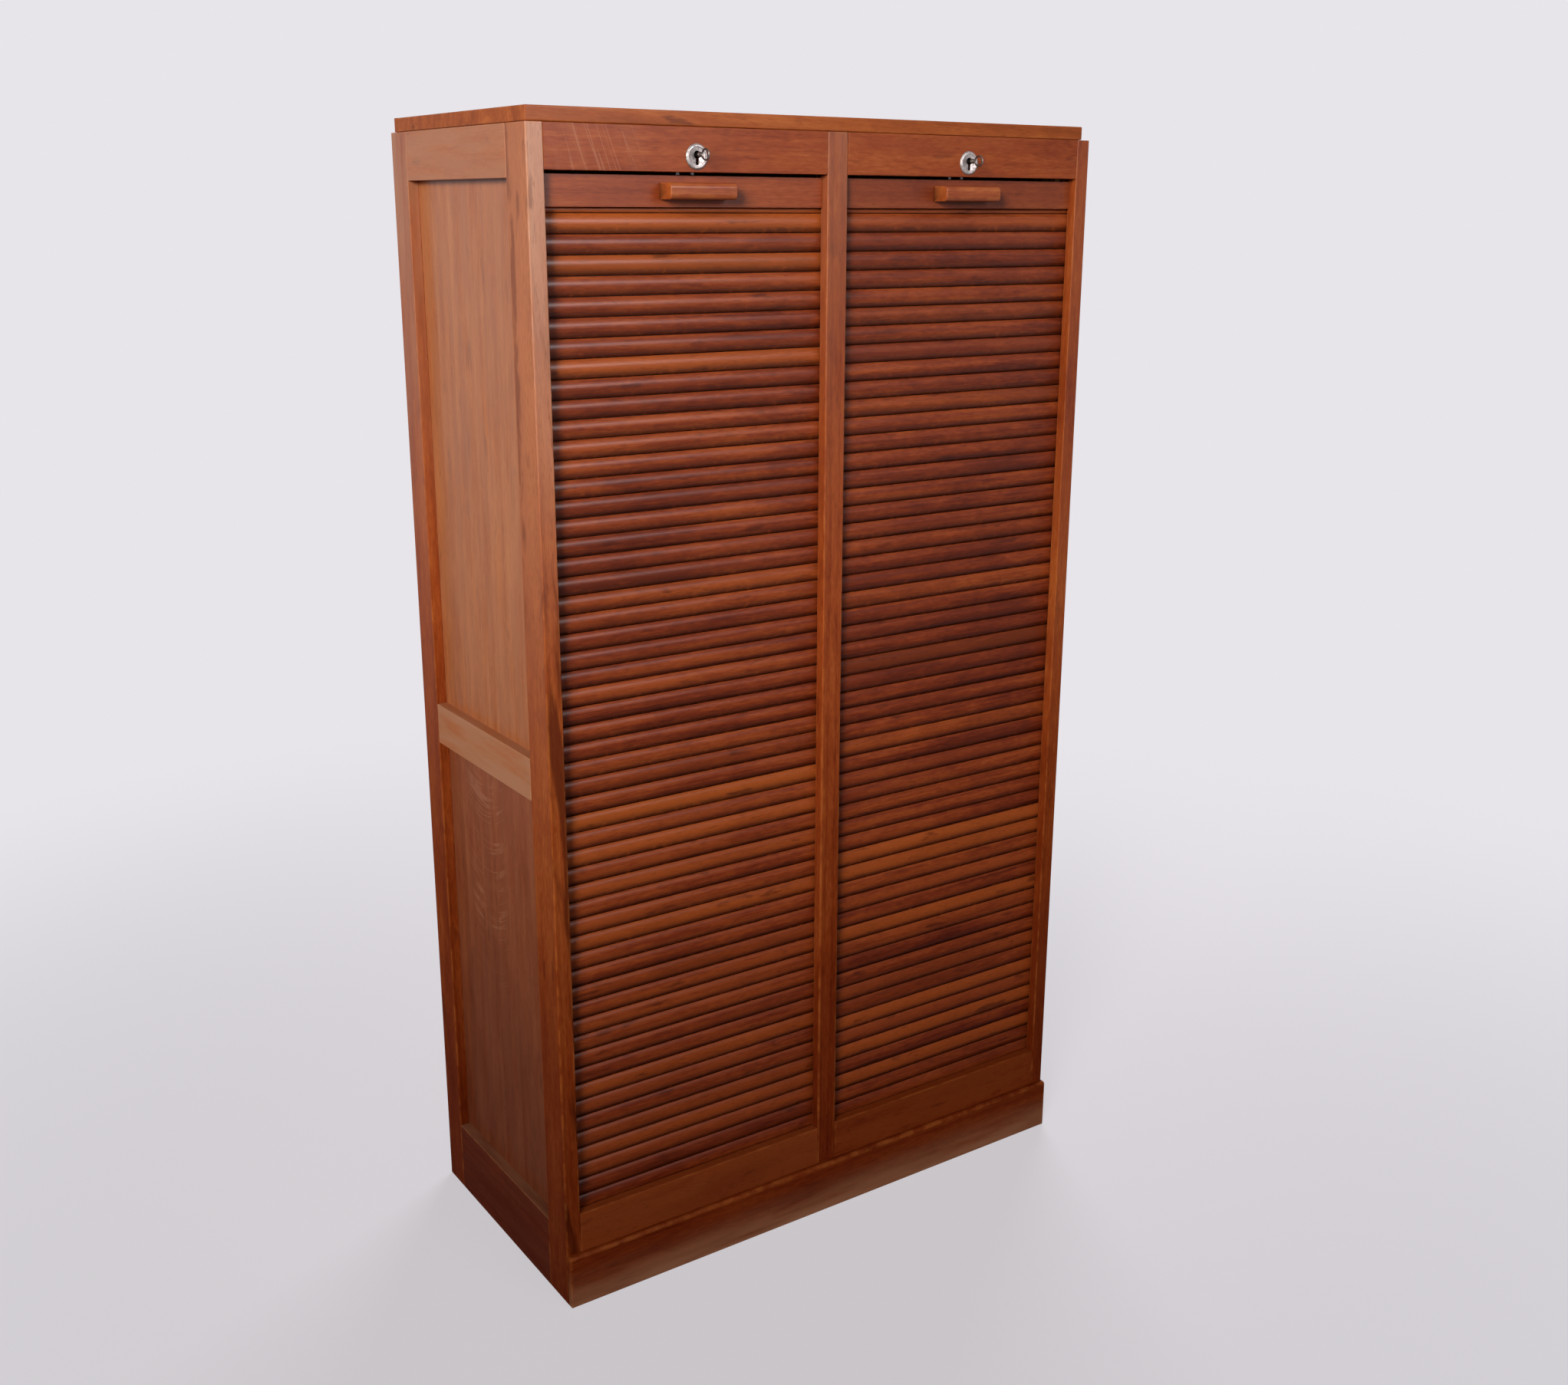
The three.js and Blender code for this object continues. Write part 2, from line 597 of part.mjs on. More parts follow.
function leadRail(side, label) {
  const x = range(side * (halfDivider + leadRailSideGap), side * (postInside - leadRailSideGap));
  const z = range(leadRailFoot, leadRailTop);
  const rail = board(x, range(leadRailFrontDepth, leadRailFrontDepth + leadRailThickness), z);
  const tongueX = range(side * (halfDivider - slatEndReach), side * (postInside + slatEndReach));
  const tongues = board(tongueX, range(curtainFrontDepth, curtainFrontDepth + curtainThickness), z);
  const centre = prongMiddle(side);
  const strikeX = range(centre - strikeLength / 2, centre + strikeLength / 2);
  const strikeY = range(strikeFront, strikeBack);
  const strike = board(strikeX, strikeY, range(leadRailTop - strikeThickness, leadRailTop));
  const seat = strike.clone().expandByScalar(joinGap);
  seat.max.z = leadRailTop + cutOverrunLength;
  const halfPocket = prongSpacingWidth / 2 + prongWidth;
  const pocketX = range(centre - halfPocket, centre + halfPocket);
  const pocketY = range(strikeFront + strikeThickness, strikeBack - strikeThickness);
  const pocket = board(pocketX, pocketY, range(leadRailTop - strikePocketDepth, leadRailTop));
  const recesses = [seat, pocket].map(blockOf);
  place(`lead_rail_${label}`, shaped(blockOf(rail), [blockOf(tongues)], recesses), oakFrame);

  const holeZ = range(leadRailTop - strikeThickness - cutOverrunLength, leadRailTop + cutOverrunLength);
  const holes = prongBoxes(side, prongSlotY, holeZ, boltRunningGap).map(blockOf);
  place(`strike_plate_${label}`, shaped(blockOf(strike), [], holes), nickel);

  const pullBack = leadRailFrontDepth - joinGap;
  const pullFront = leadRailFrontDepth - pullReachLength;
  const pullFoot = leadRailFoot + pullFootHeight;
  const pullTop = pullFoot + pullHeight;
  const outline = new THREE.Shape();
  outline.moveTo(pullBack, pullTop);
  outline.lineTo(pullFront + pullRoundRadius, pullTop);
  const roundY = pullFront + pullRoundRadius;
  outline.absarc(roundY, pullTop - pullRoundRadius, pullRoundRadius, Math.PI / 2, Math.PI, false);
  outline.absarc(roundY, pullFoot + pullRoundRadius, pullRoundRadius, Math.PI, Math.PI * 1.5, false);
  outline.lineTo(pullBack, pullFoot);
  const middle = pullCentre(side);
  const pullX = range(middle - pullLength / 2, middle + pullLength / 2);
  place(`pull_${label}`, alongX(outline, pullX), oakFrame);
}

// Lock parts
function keyholeOutline(centre, extra) {
  const radius = keyholeRadius + extra;
  const half = keyholeSlotWidth / 2 + extra;
  const opening = Math.asin(half / radius);
  const outline = new THREE.Shape();
  outline.moveTo(centre - half, keyAxisHeight - keyholeSlotDepth - extra);
  outline.lineTo(centre + half, keyAxisHeight - keyholeSlotDepth - extra);
  outline.absarc(centre, keyAxisHeight, radius, opening - Math.PI / 2, Math.PI * 1.5 - opening, false);
  return outline;
}

function lockPlate(side, label) {
  const centre = lockCentre(side);
  const back = -joinGap;
  const front = back - lockPlateThickness;
  const inner = lockPlateRadius - lockPlateRimWidth;
  const profile = [
    [0, front + lockPlateDishDepth],
    [inner, front + lockPlateDishDepth],
    [inner + lockPlateDishDepth, front],
    [inner + lockPlateRimWidth / 2, front],
    [lockPlateRadius, back - lockPlateEdgeThickness],
    [lockPlateRadius, back],
    [0, back],
  ].map(([radius, y]) => new THREE.Vector2(radius, y));
  const plate = new THREE.LatheGeometry(profile, roundSteps);
  plate.translate(centre, 0, lockCentreHeight);
  const holeY = range(front - cutOverrunLength, back + cutOverrunLength);
  const hole = alongY(keyholeOutline(centre, 0), holeY);
  place(`lock_plate_${label}`, shaped(plate, [], [hole]), nickel);
}

function lockCase(side, label) {
  const centre = lockCentre(side);
  const x = range(centre - lockCaseWidth / 2, centre + lockCaseWidth / 2);
  const z = range(lockCaseFoot, lockCaseFoot + lockCaseHeight);
  const body = board(x, range(lockCaseFront, lockCaseBack), z);
  // The hollow is open towards the rail that the case is screwed to
  const hollow = body.clone().expandByScalar(-lockCaseWallThickness);
  hollow.min.y = lockCaseFront - cutOverrunLength;
  const slotZ = range(lockCaseFoot - cutOverrunLength, lockCaseFoot + cutOverrunLength);
  const slots = prongBoxes(side, prongSlotY, slotZ, boltRunningGap / 2).map(blockOf);
  place(`lock_case_${label}`, shaped(blockOf(body), [], [blockOf(hollow), ...slots]), steel);

  const barFoot = keyAxisHeight + keyShankRadius + boltRunningGap + boltTravelLength;
  const prongZ = range(frontTopRailFoot - prongShowLength, barFoot + joinGap);
  const prongs = prongBoxes(side, prongY, prongZ, 0);
  const barX = range(prongs[0].min.x, prongs[1].max.x);
  const bar = board(barX, prongY, range(barFoot, barFoot + boltBarHeight));
  place(`lock_bolt_${label}`, shaped(blockOf(bar), prongs.map(blockOf), []), nickel);
}

function key(side, label) {
  const centre = lockCentre(side);
  const tip = lockCaseBack - lockCaseWallThickness - joinGap;
  const collarBack = keyCollarWidth - keyNeckLength;
  const profile = [
    [0, -keyNeckLength - keyBowRingWidth / 2],
    [keyShankRadius, -keyNeckLength - keyBowRingWidth / 2],
    [keyShankRadius, collarBack - keyCollarWidth / 2],
    [keyCollarRadius, collarBack],
    [keyCollarRadius, collarBack + keyCollarWidth],
    [keyShankRadius, collarBack + keyCollarWidth],
    [keyShankRadius, tip],
    [0, tip],
  ].map(([radius, y]) => new THREE.Vector2(radius, y));
  const shank = new THREE.LatheGeometry(profile, roundSteps / 2);
  shank.translate(centre, 0, keyAxisHeight);
  const bitX = range(centre - keyBitThickness / 2, centre + keyBitThickness / 2);
  const bitY = range(tip - keyBitWidth, tip - joinGap);
  const bit = blockOf(board(bitX, bitY, range(keyAxisHeight - keyBitLength, keyAxisHeight)));
  const bowCentre = -keyNeckLength - keyBowLength / 2;
  const bow = new THREE.Shape();
  bow.absellipse(bowCentre, keyAxisHeight, keyBowLength / 2, keyBowHeight / 2, 0, Math.PI * 2, false, 0);
  const eye = new THREE.Path();
  const eyeLength = keyBowLength / 2 - keyBowRingWidth;
  const eyeHeight = keyBowHeight / 2 - keyBowRingWidth;
  eye.absellipse(bowCentre, keyAxisHeight, eyeLength, eyeHeight, 0, Math.PI * 2, false, 0);
  bow.holes.push(eye);
  const ring = alongX(bow, range(centre - keyBowThickness / 2, centre + keyBowThickness / 2));
  place(`key_${label}`, shaped(shank, [bit, ring], []), steel);
}

for (const [side, label] of [[-1, 'left'], [1, 'right']]) {
  sideFrame(side, label);
  const holeY = range(-cutOverrunLength, lockCaseFront);
  const keyhole = alongY(keyholeOutline(lockCentre(side), joinGap), holeY);
  const topRail = frontTopRail(side);
  const topEnds = tenonPair(topRail, 'x', 'y', -1, 'z').map(blockOf);
  place(`front_top_rail_${label}`, shaped(blockOf(topRail), topEnds, [keyhole]), oakFrame);
  const bottomRail = frontBottomRail(side);
  const bottomEnds = tenonPair(bottomRail, 'x', 'y', -1, 'z').map(blockOf);
  place(`front_bottom_rail_${label}`, shaped(blockOf(bottomRail), bottomEnds, []), oakFrame);
  slatCurtain(side, label);
  leadRail(side, label);
  lockPlate(side, label);
  lockCase(side, label);
  key(side, label);
}
middleFrame();
backFrame();
plinth();
innerCarcass();

export default cabinet;
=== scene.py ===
import math

import bmesh
import bpy
import numpy as np
from mathutils import Matrix, Vector


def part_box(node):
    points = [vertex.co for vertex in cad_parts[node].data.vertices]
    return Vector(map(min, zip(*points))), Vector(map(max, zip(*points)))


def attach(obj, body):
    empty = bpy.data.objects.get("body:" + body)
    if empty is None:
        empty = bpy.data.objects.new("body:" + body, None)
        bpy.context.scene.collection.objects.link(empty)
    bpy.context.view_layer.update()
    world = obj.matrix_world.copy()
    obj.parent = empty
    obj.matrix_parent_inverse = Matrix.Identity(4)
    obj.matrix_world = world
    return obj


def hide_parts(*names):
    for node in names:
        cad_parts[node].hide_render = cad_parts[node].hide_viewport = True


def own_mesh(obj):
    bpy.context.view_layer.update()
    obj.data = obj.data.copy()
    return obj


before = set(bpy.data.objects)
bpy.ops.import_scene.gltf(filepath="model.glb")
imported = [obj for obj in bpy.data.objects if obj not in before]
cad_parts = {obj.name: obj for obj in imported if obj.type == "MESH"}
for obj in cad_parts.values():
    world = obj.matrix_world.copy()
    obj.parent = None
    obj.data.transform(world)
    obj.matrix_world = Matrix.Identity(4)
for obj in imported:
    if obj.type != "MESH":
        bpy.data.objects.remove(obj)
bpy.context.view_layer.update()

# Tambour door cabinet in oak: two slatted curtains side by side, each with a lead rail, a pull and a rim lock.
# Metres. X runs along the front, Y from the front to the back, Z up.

X, Y, Z = 0, 1, 2
SIDES = ((-1, "left"), (1, "right"))
MM = 0.001


def limits(node):
    """The lowest and highest corner of a CAD node, as a 2 by 3 array."""
    return np.array([tuple(corner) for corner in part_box(node)])


# Radii of the arrises
ARRIS = 1.1 * MM
FINE_ARRIS = 0.5 * MM
SOFT_ARRIS = 1.8 * MM

# The first line of points behind an arris, how worn it is, and how far the wear reaches; the paler edge that this wear
# gives is partly a painted highlight
SUPPORT = 0.4 * MM
SUPPORT_WORN = 0.9
FADE = 5 * MM
WELD = 1e-7

# Joints, and the posts' grooves and rebates
JOIN_GAP = 0.3 * MM
TENON = 12 * MM
LIPPING_WIDTH = 12 * MM
LIPPING_GAP = 0.1 * MM
TRACK_FRONT = 17 * MM
TRACK_BACK = 28.5 * MM
TRACK_DEPTH = 9 * MM
REBATE_WIDTH = 6.3 * MM
REBATE_START = 16.7 * MM

# Y of the front, from which the grooves for the curtains are measured
FRONT = limits("front_post_left")[0, Y]


# ---- Shapes: a shape is (points, faces, arris), and arris is 1 on a worn edge and 0 on a flat. Its paler edge
# is wear and painted highlight; on a slat it is only a painted highlight

def lattice(rows, columns, round_rows=False, round_columns=False):
    """Quads of a grid of points, numbered row by row. A round direction joins its last line to its first."""
    index = np.arange(rows * columns).reshape(rows, columns)
    if round_rows:
        index = np.vstack([index, index[:1]])
    if round_columns:
        index = np.hstack([index, index[:, :1]])
    corners = index[:-1, :-1], index[:-1, 1:], index[1:, 1:], index[1:, :-1]
    return np.stack(corners, -1).reshape(-1, 4)


def joined(*shapes):
    """Several shapes as one."""
    starts = np.cumsum([0] + [len(shape[0]) for shape in shapes[:-1]])
    faces = [[start + np.asarray(face) for face in shape[1]] for start, shape in zip(starts, shapes)]
    return (
        np.concatenate([shape[0] for shape in shapes]),
        [face for group in faces for face in group],
        np.concatenate([shape[2] for shape in shapes]),
    )


def arris_lines(length, radius):
    """Grid lines along one edge of a board. Over each arris they stand at radius * (1 - tan(angle)), for even turns.
    Lines that come near the middle are left out."""
    turns = np.radians([45, 30, 15, 0])
    near = np.append(radius * (1 - np.tan(turns)), [radius + SUPPORT, FADE])
    near = near[near < length * 0.46]
    return np.concatenate([near, length - near[::-1]])


def rounded_board(low, high, radius=ARRIS):
    """A board with round arrises. A point of the sharp box goes to the nearest point of the core, which is the box less
    the radius on each side, plus the radius along the line from that point."""
    low, high = np.asarray(low, float), np.asarray(high, float)
    lines = [low[k] + arris_lines(high[k] - low[k], radius) for k in (X, Y, Z)]
    points, quads, count = [], [], 0
    for axis in (X, Y, Z):
        first, second = (axis + 1) % 3, (axis + 2) % 3
        grids = np.meshgrid(lines[first], lines[second], indexing="ij")
        for end, turn in ((0, 1), (-1, -1)):
            side = np.empty(grids[0].shape + (3,))
            side[..., axis] = lines[axis][end]
            side[..., first], side[..., second] = grids
            points.append(side.reshape(-1, 3))
            quads.append(count + lattice(*grids[0].shape)[:, ::turn])
            count += grids[0].size
    points, quads = np.concatenate(points), np.concatenate(quads)
    _, first_of, number = np.unique(np.round(points / WELD), axis=0, return_index=True, return_inverse=True)
    points, quads = points[first_of], number.reshape(-1)[quads]
    from_edge = np.sort(np.minimum(points - low, high - points), axis=1)[:, 1]
    core = np.clip(points, low + radius, high - radius)
    away = points - core
    away /= np.linalg.norm(away, axis=1, keepdims=True)
    return core + radius * away, quads, np.clip(1 - from_edge / FADE, 0, 1)


def moulding_outline(corners, radii, steps=5):
    """Closed outline with its corners rounded, and how worn each point is. A corner's arc has its centre on the line
    that halves the corner, radius / sin(half the corner's angle) from it. On each side of the arc lie up to two more
    points, where the straight part is long enough."""
    corners = np.asarray(corners, float)
    outline, worn = [], []
    for corner, before, after, radius in zip(corners, np.roll(corners, 1, 0), np.roll(corners, -1, 0), radii):
        back, on = before - corner, after - corner
        lengths = np.linalg.norm(back), np.linalg.norm(on)
        back, on = back / lengths[0], on / lengths[1]
        half = math.acos(np.clip(back @ on, -1, 1)) / 2
        tangent = radius / math.tan(half)
        centre = corner + (back + on) / np.linalg.norm(back + on) * radius / math.sin(half)
        from_centre = corner + back * tangent - centre, corner + on * tangent - centre
        sweep = math.acos(np.clip(from_centre[0] @ from_centre[1] / radius**2, -1, 1))
        share = np.linspace(0, 1, steps + 1)[:, None]
        arc = np.sin((1 - share) * sweep) * from_centre[0] + np.sin(share * sweep) * from_centre[1]
        arc = centre + arc / math.sin(sweep)
        behind = (tangent + FADE - 2 * MM, 0), (tangent + SUPPORT, SUPPORT_WORN)
        lead = [(corner + back * reach, wear) for reach, wear in behind if reach < lengths[0] * 0.48]
        tail = [(corner + on * reach, wear) for reach, wear in behind if reach < lengths[1] * 0.48][::-1]
        for point, wear in [*lead, *((p, 1) for p in arc), *tail]:
            outline.append(point)
            worn.append(wear)
    return np.array(outline), np.array(worn, float)


def swept(outline, worn, axis, start, end, radius=ARRIS, cells=1):
    """An outline carried along an axis, anticlockwise seen from the axis's far end. It is drawn in by
    radius * (1 - sin(angle)) where it is radius * (1 - cos(angle)) from an end, which rounds the end."""
    turns = np.radians([0, 22.5, 45, 67.5, 90])
    near = np.append(radius * (1 - np.cos(turns)), [radius + SUPPORT, radius + FADE])
    inset = np.append(radius * (1 - np.sin(turns)), [0, 0])
    end_worn = np.append(np.ones(len(turns)), [SUPPORT_WORN, 0])
    middle = np.linspace(near[-1], end - start - near[-1], cells + 1)[1:-1]
    stations = start + np.concatenate([near, middle, end - start - near[::-1]])
    inset = np.concatenate([inset, middle * 0, inset[::-1]])
    end_worn = np.concatenate([end_worn, middle * 0, end_worn[::-1]])
    along = np.roll(outline, -1, 0) - np.roll(outline, 1, 0)
    outward = np.stack([along[:, 1], -along[:, 0]], 1)
    outward /= np.linalg.norm(outward, axis=1, keepdims=True)
    points = np.empty((len(stations), len(outline), 3))
    points[..., axis] = stations[:, None]
    points[..., [(axis + 1) % 3, (axis + 2) % 3]] = outline - outward * inset[:, None, None]
    quads = lattice(len(stations), len(outline), round_columns=True)
    last = (len(stations) - 1) * len(outline)
    caps = [np.arange(len(outline))[::-1], last + np.arange(len(outline))]
    arris = np.maximum(worn[None], end_worn[:, None]).ravel()
    return points.reshape(-1, 3), [*quads, *caps], arris


def turned(profile, centre, axis, steps=28):
    """A profile of (radius, place along the axis) turned round that axis."""
    profile = np.asarray(profile, float)
    angle = np.linspace(0, 2 * np.pi, steps, endpoint=False)
    points = np.empty((len(profile), steps, 3))
    points[..., axis] = profile[:, 1, None]
    points[..., (axis + 1) % 3] = profile[:, :1] * np.cos(angle)
    points[..., (axis + 2) % 3] = profile[:, :1] * np.sin(angle)
    points = points.reshape(-1, 3) + centre
    return points, lattice(len(profile), steps, round_columns=True), np.zeros(len(points))


# ---- Wood: each board knows its place in the tree that it was sawn from

def seeded(name):
    """Random numbers that are the same on every run, and different for each name."""
    return np.random.default_rng(list(name.encode()))


def sawn(points, name, grain, face, plain=0.0):
    """Place in the tree: x along the grain, y and z from the heart. A quarter sawn board lies off to the side of the
    heart, so its rings cut the face as straight lines; a plain sawn one lies over it, and its tilt makes arches."""
    dice = seeded(name)
    centre = (points.min(0) + points.max(0)) / 2
    along = points[:, grain] - centre[grain]
    lean, tilt = dice.uniform(-0.004, 0.004), dice.uniform(0.015, 0.04)
    across = points[:, 3 - grain - face] - centre[3 - grain - face] + lean * along
    depth = points[:, face] - centre[face] + tilt * along
    side = (1 - plain) * dice.uniform(0.12, 0.2) + plain * dice.uniform(-0.012, 0.012)
    heart = (1 - plain) * dice.uniform(0.01, 0.05) + plain * dice.uniform(0.05, 0.08)
    return np.stack([along + dice.uniform(1, 9), across + side, depth + heart], 1)


def cast_over(tone, warmth, dirt_and_painted_light):
    """A cast with one tone and warmth all over, and the dirt and painted light of each point."""
    return np.stack([np.full(len(dirt_and_painted_light), tone), np.full(len(dirt_and_painted_light), warmth), dirt_and_painted_light], 1)


def piece(name, shape, body, finish, stands_for, wood=None, cast=None):
    """A finished object. wood is each point's place in the tree and cast its (tone, warmth, dirt and painted light):
    the third is above 0 for dirt and painted shade, below 0 for dust and painted light."""
    points, faces, arris = shape
    mesh = bpy.data.meshes.new(name)
    mesh.from_pydata(points.tolist(), [], [list(map(int, face)) for face in faces])
    if wood is not None:
        mesh.attributes.new("wood", "FLOAT_VECTOR", "POINT").data.foreach_set("vector", wood.ravel())
        cast = np.broadcast_to(np.asarray(cast, float), points.shape).ravel()
        mesh.attributes.new("cast", "FLOAT_VECTOR", "POINT").data.foreach_set("vector", cast)
        mesh.attributes.new("arris", "FLOAT", "POINT").data.foreach_set("value", arris)
    solid = bmesh.new()
    solid.from_mesh(mesh)
    bmesh.ops.remove_doubles(solid, verts=solid.verts, dist=WELD)
    bmesh.ops.recalc_face_normals(solid, faces=solid.faces)
    solid.to_mesh(mesh)
    solid.free()
    mesh.polygons.foreach_set("use_smooth", [True] * len(mesh.polygons))
    mesh.materials.append(finish)
    made = bpy.data.objects.new(name, mesh)
    bpy.context.scene.collection.objects.link(made)
    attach(made, body)
    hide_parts(*stands_for)
    return made


# ---- Finishes

def colour(red, green, blue):
    """A colour as seen on a screen, 0 to 255, in the linear numbers that a shader takes."""
    screen = np.array([red, green, blue]) / 255
    linear = np.where(screen <= 0.04045, screen / 12.92, ((screen + 0.055) / 1.055) ** 2.4)
    return (*map(float, linear), 1.0)


class Signal:
    """A socket in a finish. Sums written with it add their Math nodes."""

    def __init__(self, finish, socket):
        self.finish, self.socket = finish, socket

    def maths(self, operation, *terms):
        return self.finish.node("ShaderNodeMath", {"operation": operation}, dict(enumerate(terms)))

    def __add__(self, other):
        return self.maths("ADD", self, other)

    def __sub__(self, other):
        return self.maths("SUBTRACT", self, other)

    def __rsub__(self, other):
        return self.maths("SUBTRACT", other, self)

    def __mul__(self, other):
        return self.maths("MULTIPLY", self, other)

    def __pow__(self, other):
        return self.maths("POWER", self, other)

    __radd__, __rmul__ = __add__, __mul__


class Finish:
    """The nodes of a material or world, with one method that adds any node."""

    def __init__(self, owner):
        owner.use_nodes = True
        self.owner, self.tree = owner, owner.node_tree
        self.tree.nodes.clear()

    def node(self, kind, settings=(), inputs=(), output=0):
        """Adds a node: its settings first, then the values or links of its sockets. The setting "stops" gives the
        places and colours of a ramp. Returns one of the node's outputs."""
        made = self.tree.nodes.new(kind)
        for key, value in dict(settings).items():
            if key != "stops":
                setattr(made, key, value)
                continue
            while len(made.color_ramp.elements) < len(value):
                made.color_ramp.elements.new(0.5)
            for stop, (place, shade) in zip(made.color_ramp.elements, value):
                stop.position, stop.color = place, shade
        for key, value in dict(inputs).items():
            if isinstance(value, Signal):
                self.tree.links.new(value.socket, made.inputs[key])
            else:
                made.inputs[key].default_value = value
        return Signal(self, made.outputs[output]) if made.outputs else None

    def more(self, signal, keys):
        """Outputs of the node that a signal comes from."""
        return [Signal(self, signal.socket.node.outputs[key]) for key in keys]

    def spot(self):
        """The place on the piece."""
        return self.node("ShaderNodeTexCoord", output="Object")

    def noise(self, place, stretch, detail=2.0, roughness=0.5):
        """Soft noise from 0 to 1 about one half. stretch is its lumps per metre along each axis."""
        spread = self.node("ShaderNodeVectorMath", {"operation": "MULTIPLY"}, {0: place, 1: stretch})
        inputs = {"Vector": spread, "Scale": 1.0, "Detail": detail, "Roughness": roughness}
        return self.node("ShaderNodeTexNoise", {}, inputs)

    def line_noise(self, place, detail):
        """Soft noise along one number."""
        settings, inputs = {"noise_dimensions": "1D"}, {"W": place, "Scale": 1.0, "Detail": detail}
        return self.node("ShaderNodeTexNoise", settings, inputs)

    def rise(self, value, low, high):
        """0 below low and 1 above high, smooth between."""
        inputs = {"Value": value, "From Min": low, "From Max": high}
        return self.node("ShaderNodeMapRange", {"interpolation_type": "SMOOTHSTEP"}, inputs)

    def mix(self, share, first, second, blend="MIX"):
        """Two colours mixed by share."""
        settings = {"data_type": "RGBA", "blend_type": blend}
        return self.node("ShaderNodeMix", settings, {0: share, 6: first, 7: second}, 2)

    def parts(self, vector):
        """The three numbers of a vector."""
        return self.more(self.node("ShaderNodeSeparateXYZ", {}, {0: vector}), (X, Y, Z))

    def vector(self, x, y, z):
        return self.node("ShaderNodeCombineXYZ", {}, {0: x, 1: y, 2: z})

    def bump(self, strength, distance, relief):
        inputs = {"Strength": strength, "Distance": distance, "Height": relief}
        return self.node("ShaderNodeBump", {}, inputs)

    def attribute(self, name, output):
        return self.node("ShaderNodeAttribute", {"attribute_name": name}, {}, output)

    def close(self, **inputs):
        """Ends the finish with its shader. Names have _ for a space."""
        inputs = {key.replace("_", " "): value for key, value in inputs.items()}
        shader = self.node("ShaderNodeBsdfPrincipled", {}, inputs)
        self.node("ShaderNodeOutputMaterial", {}, {"Surface": shader})
        return self.owner


GRAIN_TURN = {X: (0, 0, 0), Y: (0, 0, -math.pi / 2), Z: (0, math.pi / 2, 0)}
RINGS_PER_METRE, BANDS_PER_METRE = 190, 62
# Painted shade: below this height the colour is painted darker towards the floor
PAINTED_SHADE_TOP = 1.2
POLISH_WORN, POLISH_WHOLE = 0.5, 1.8


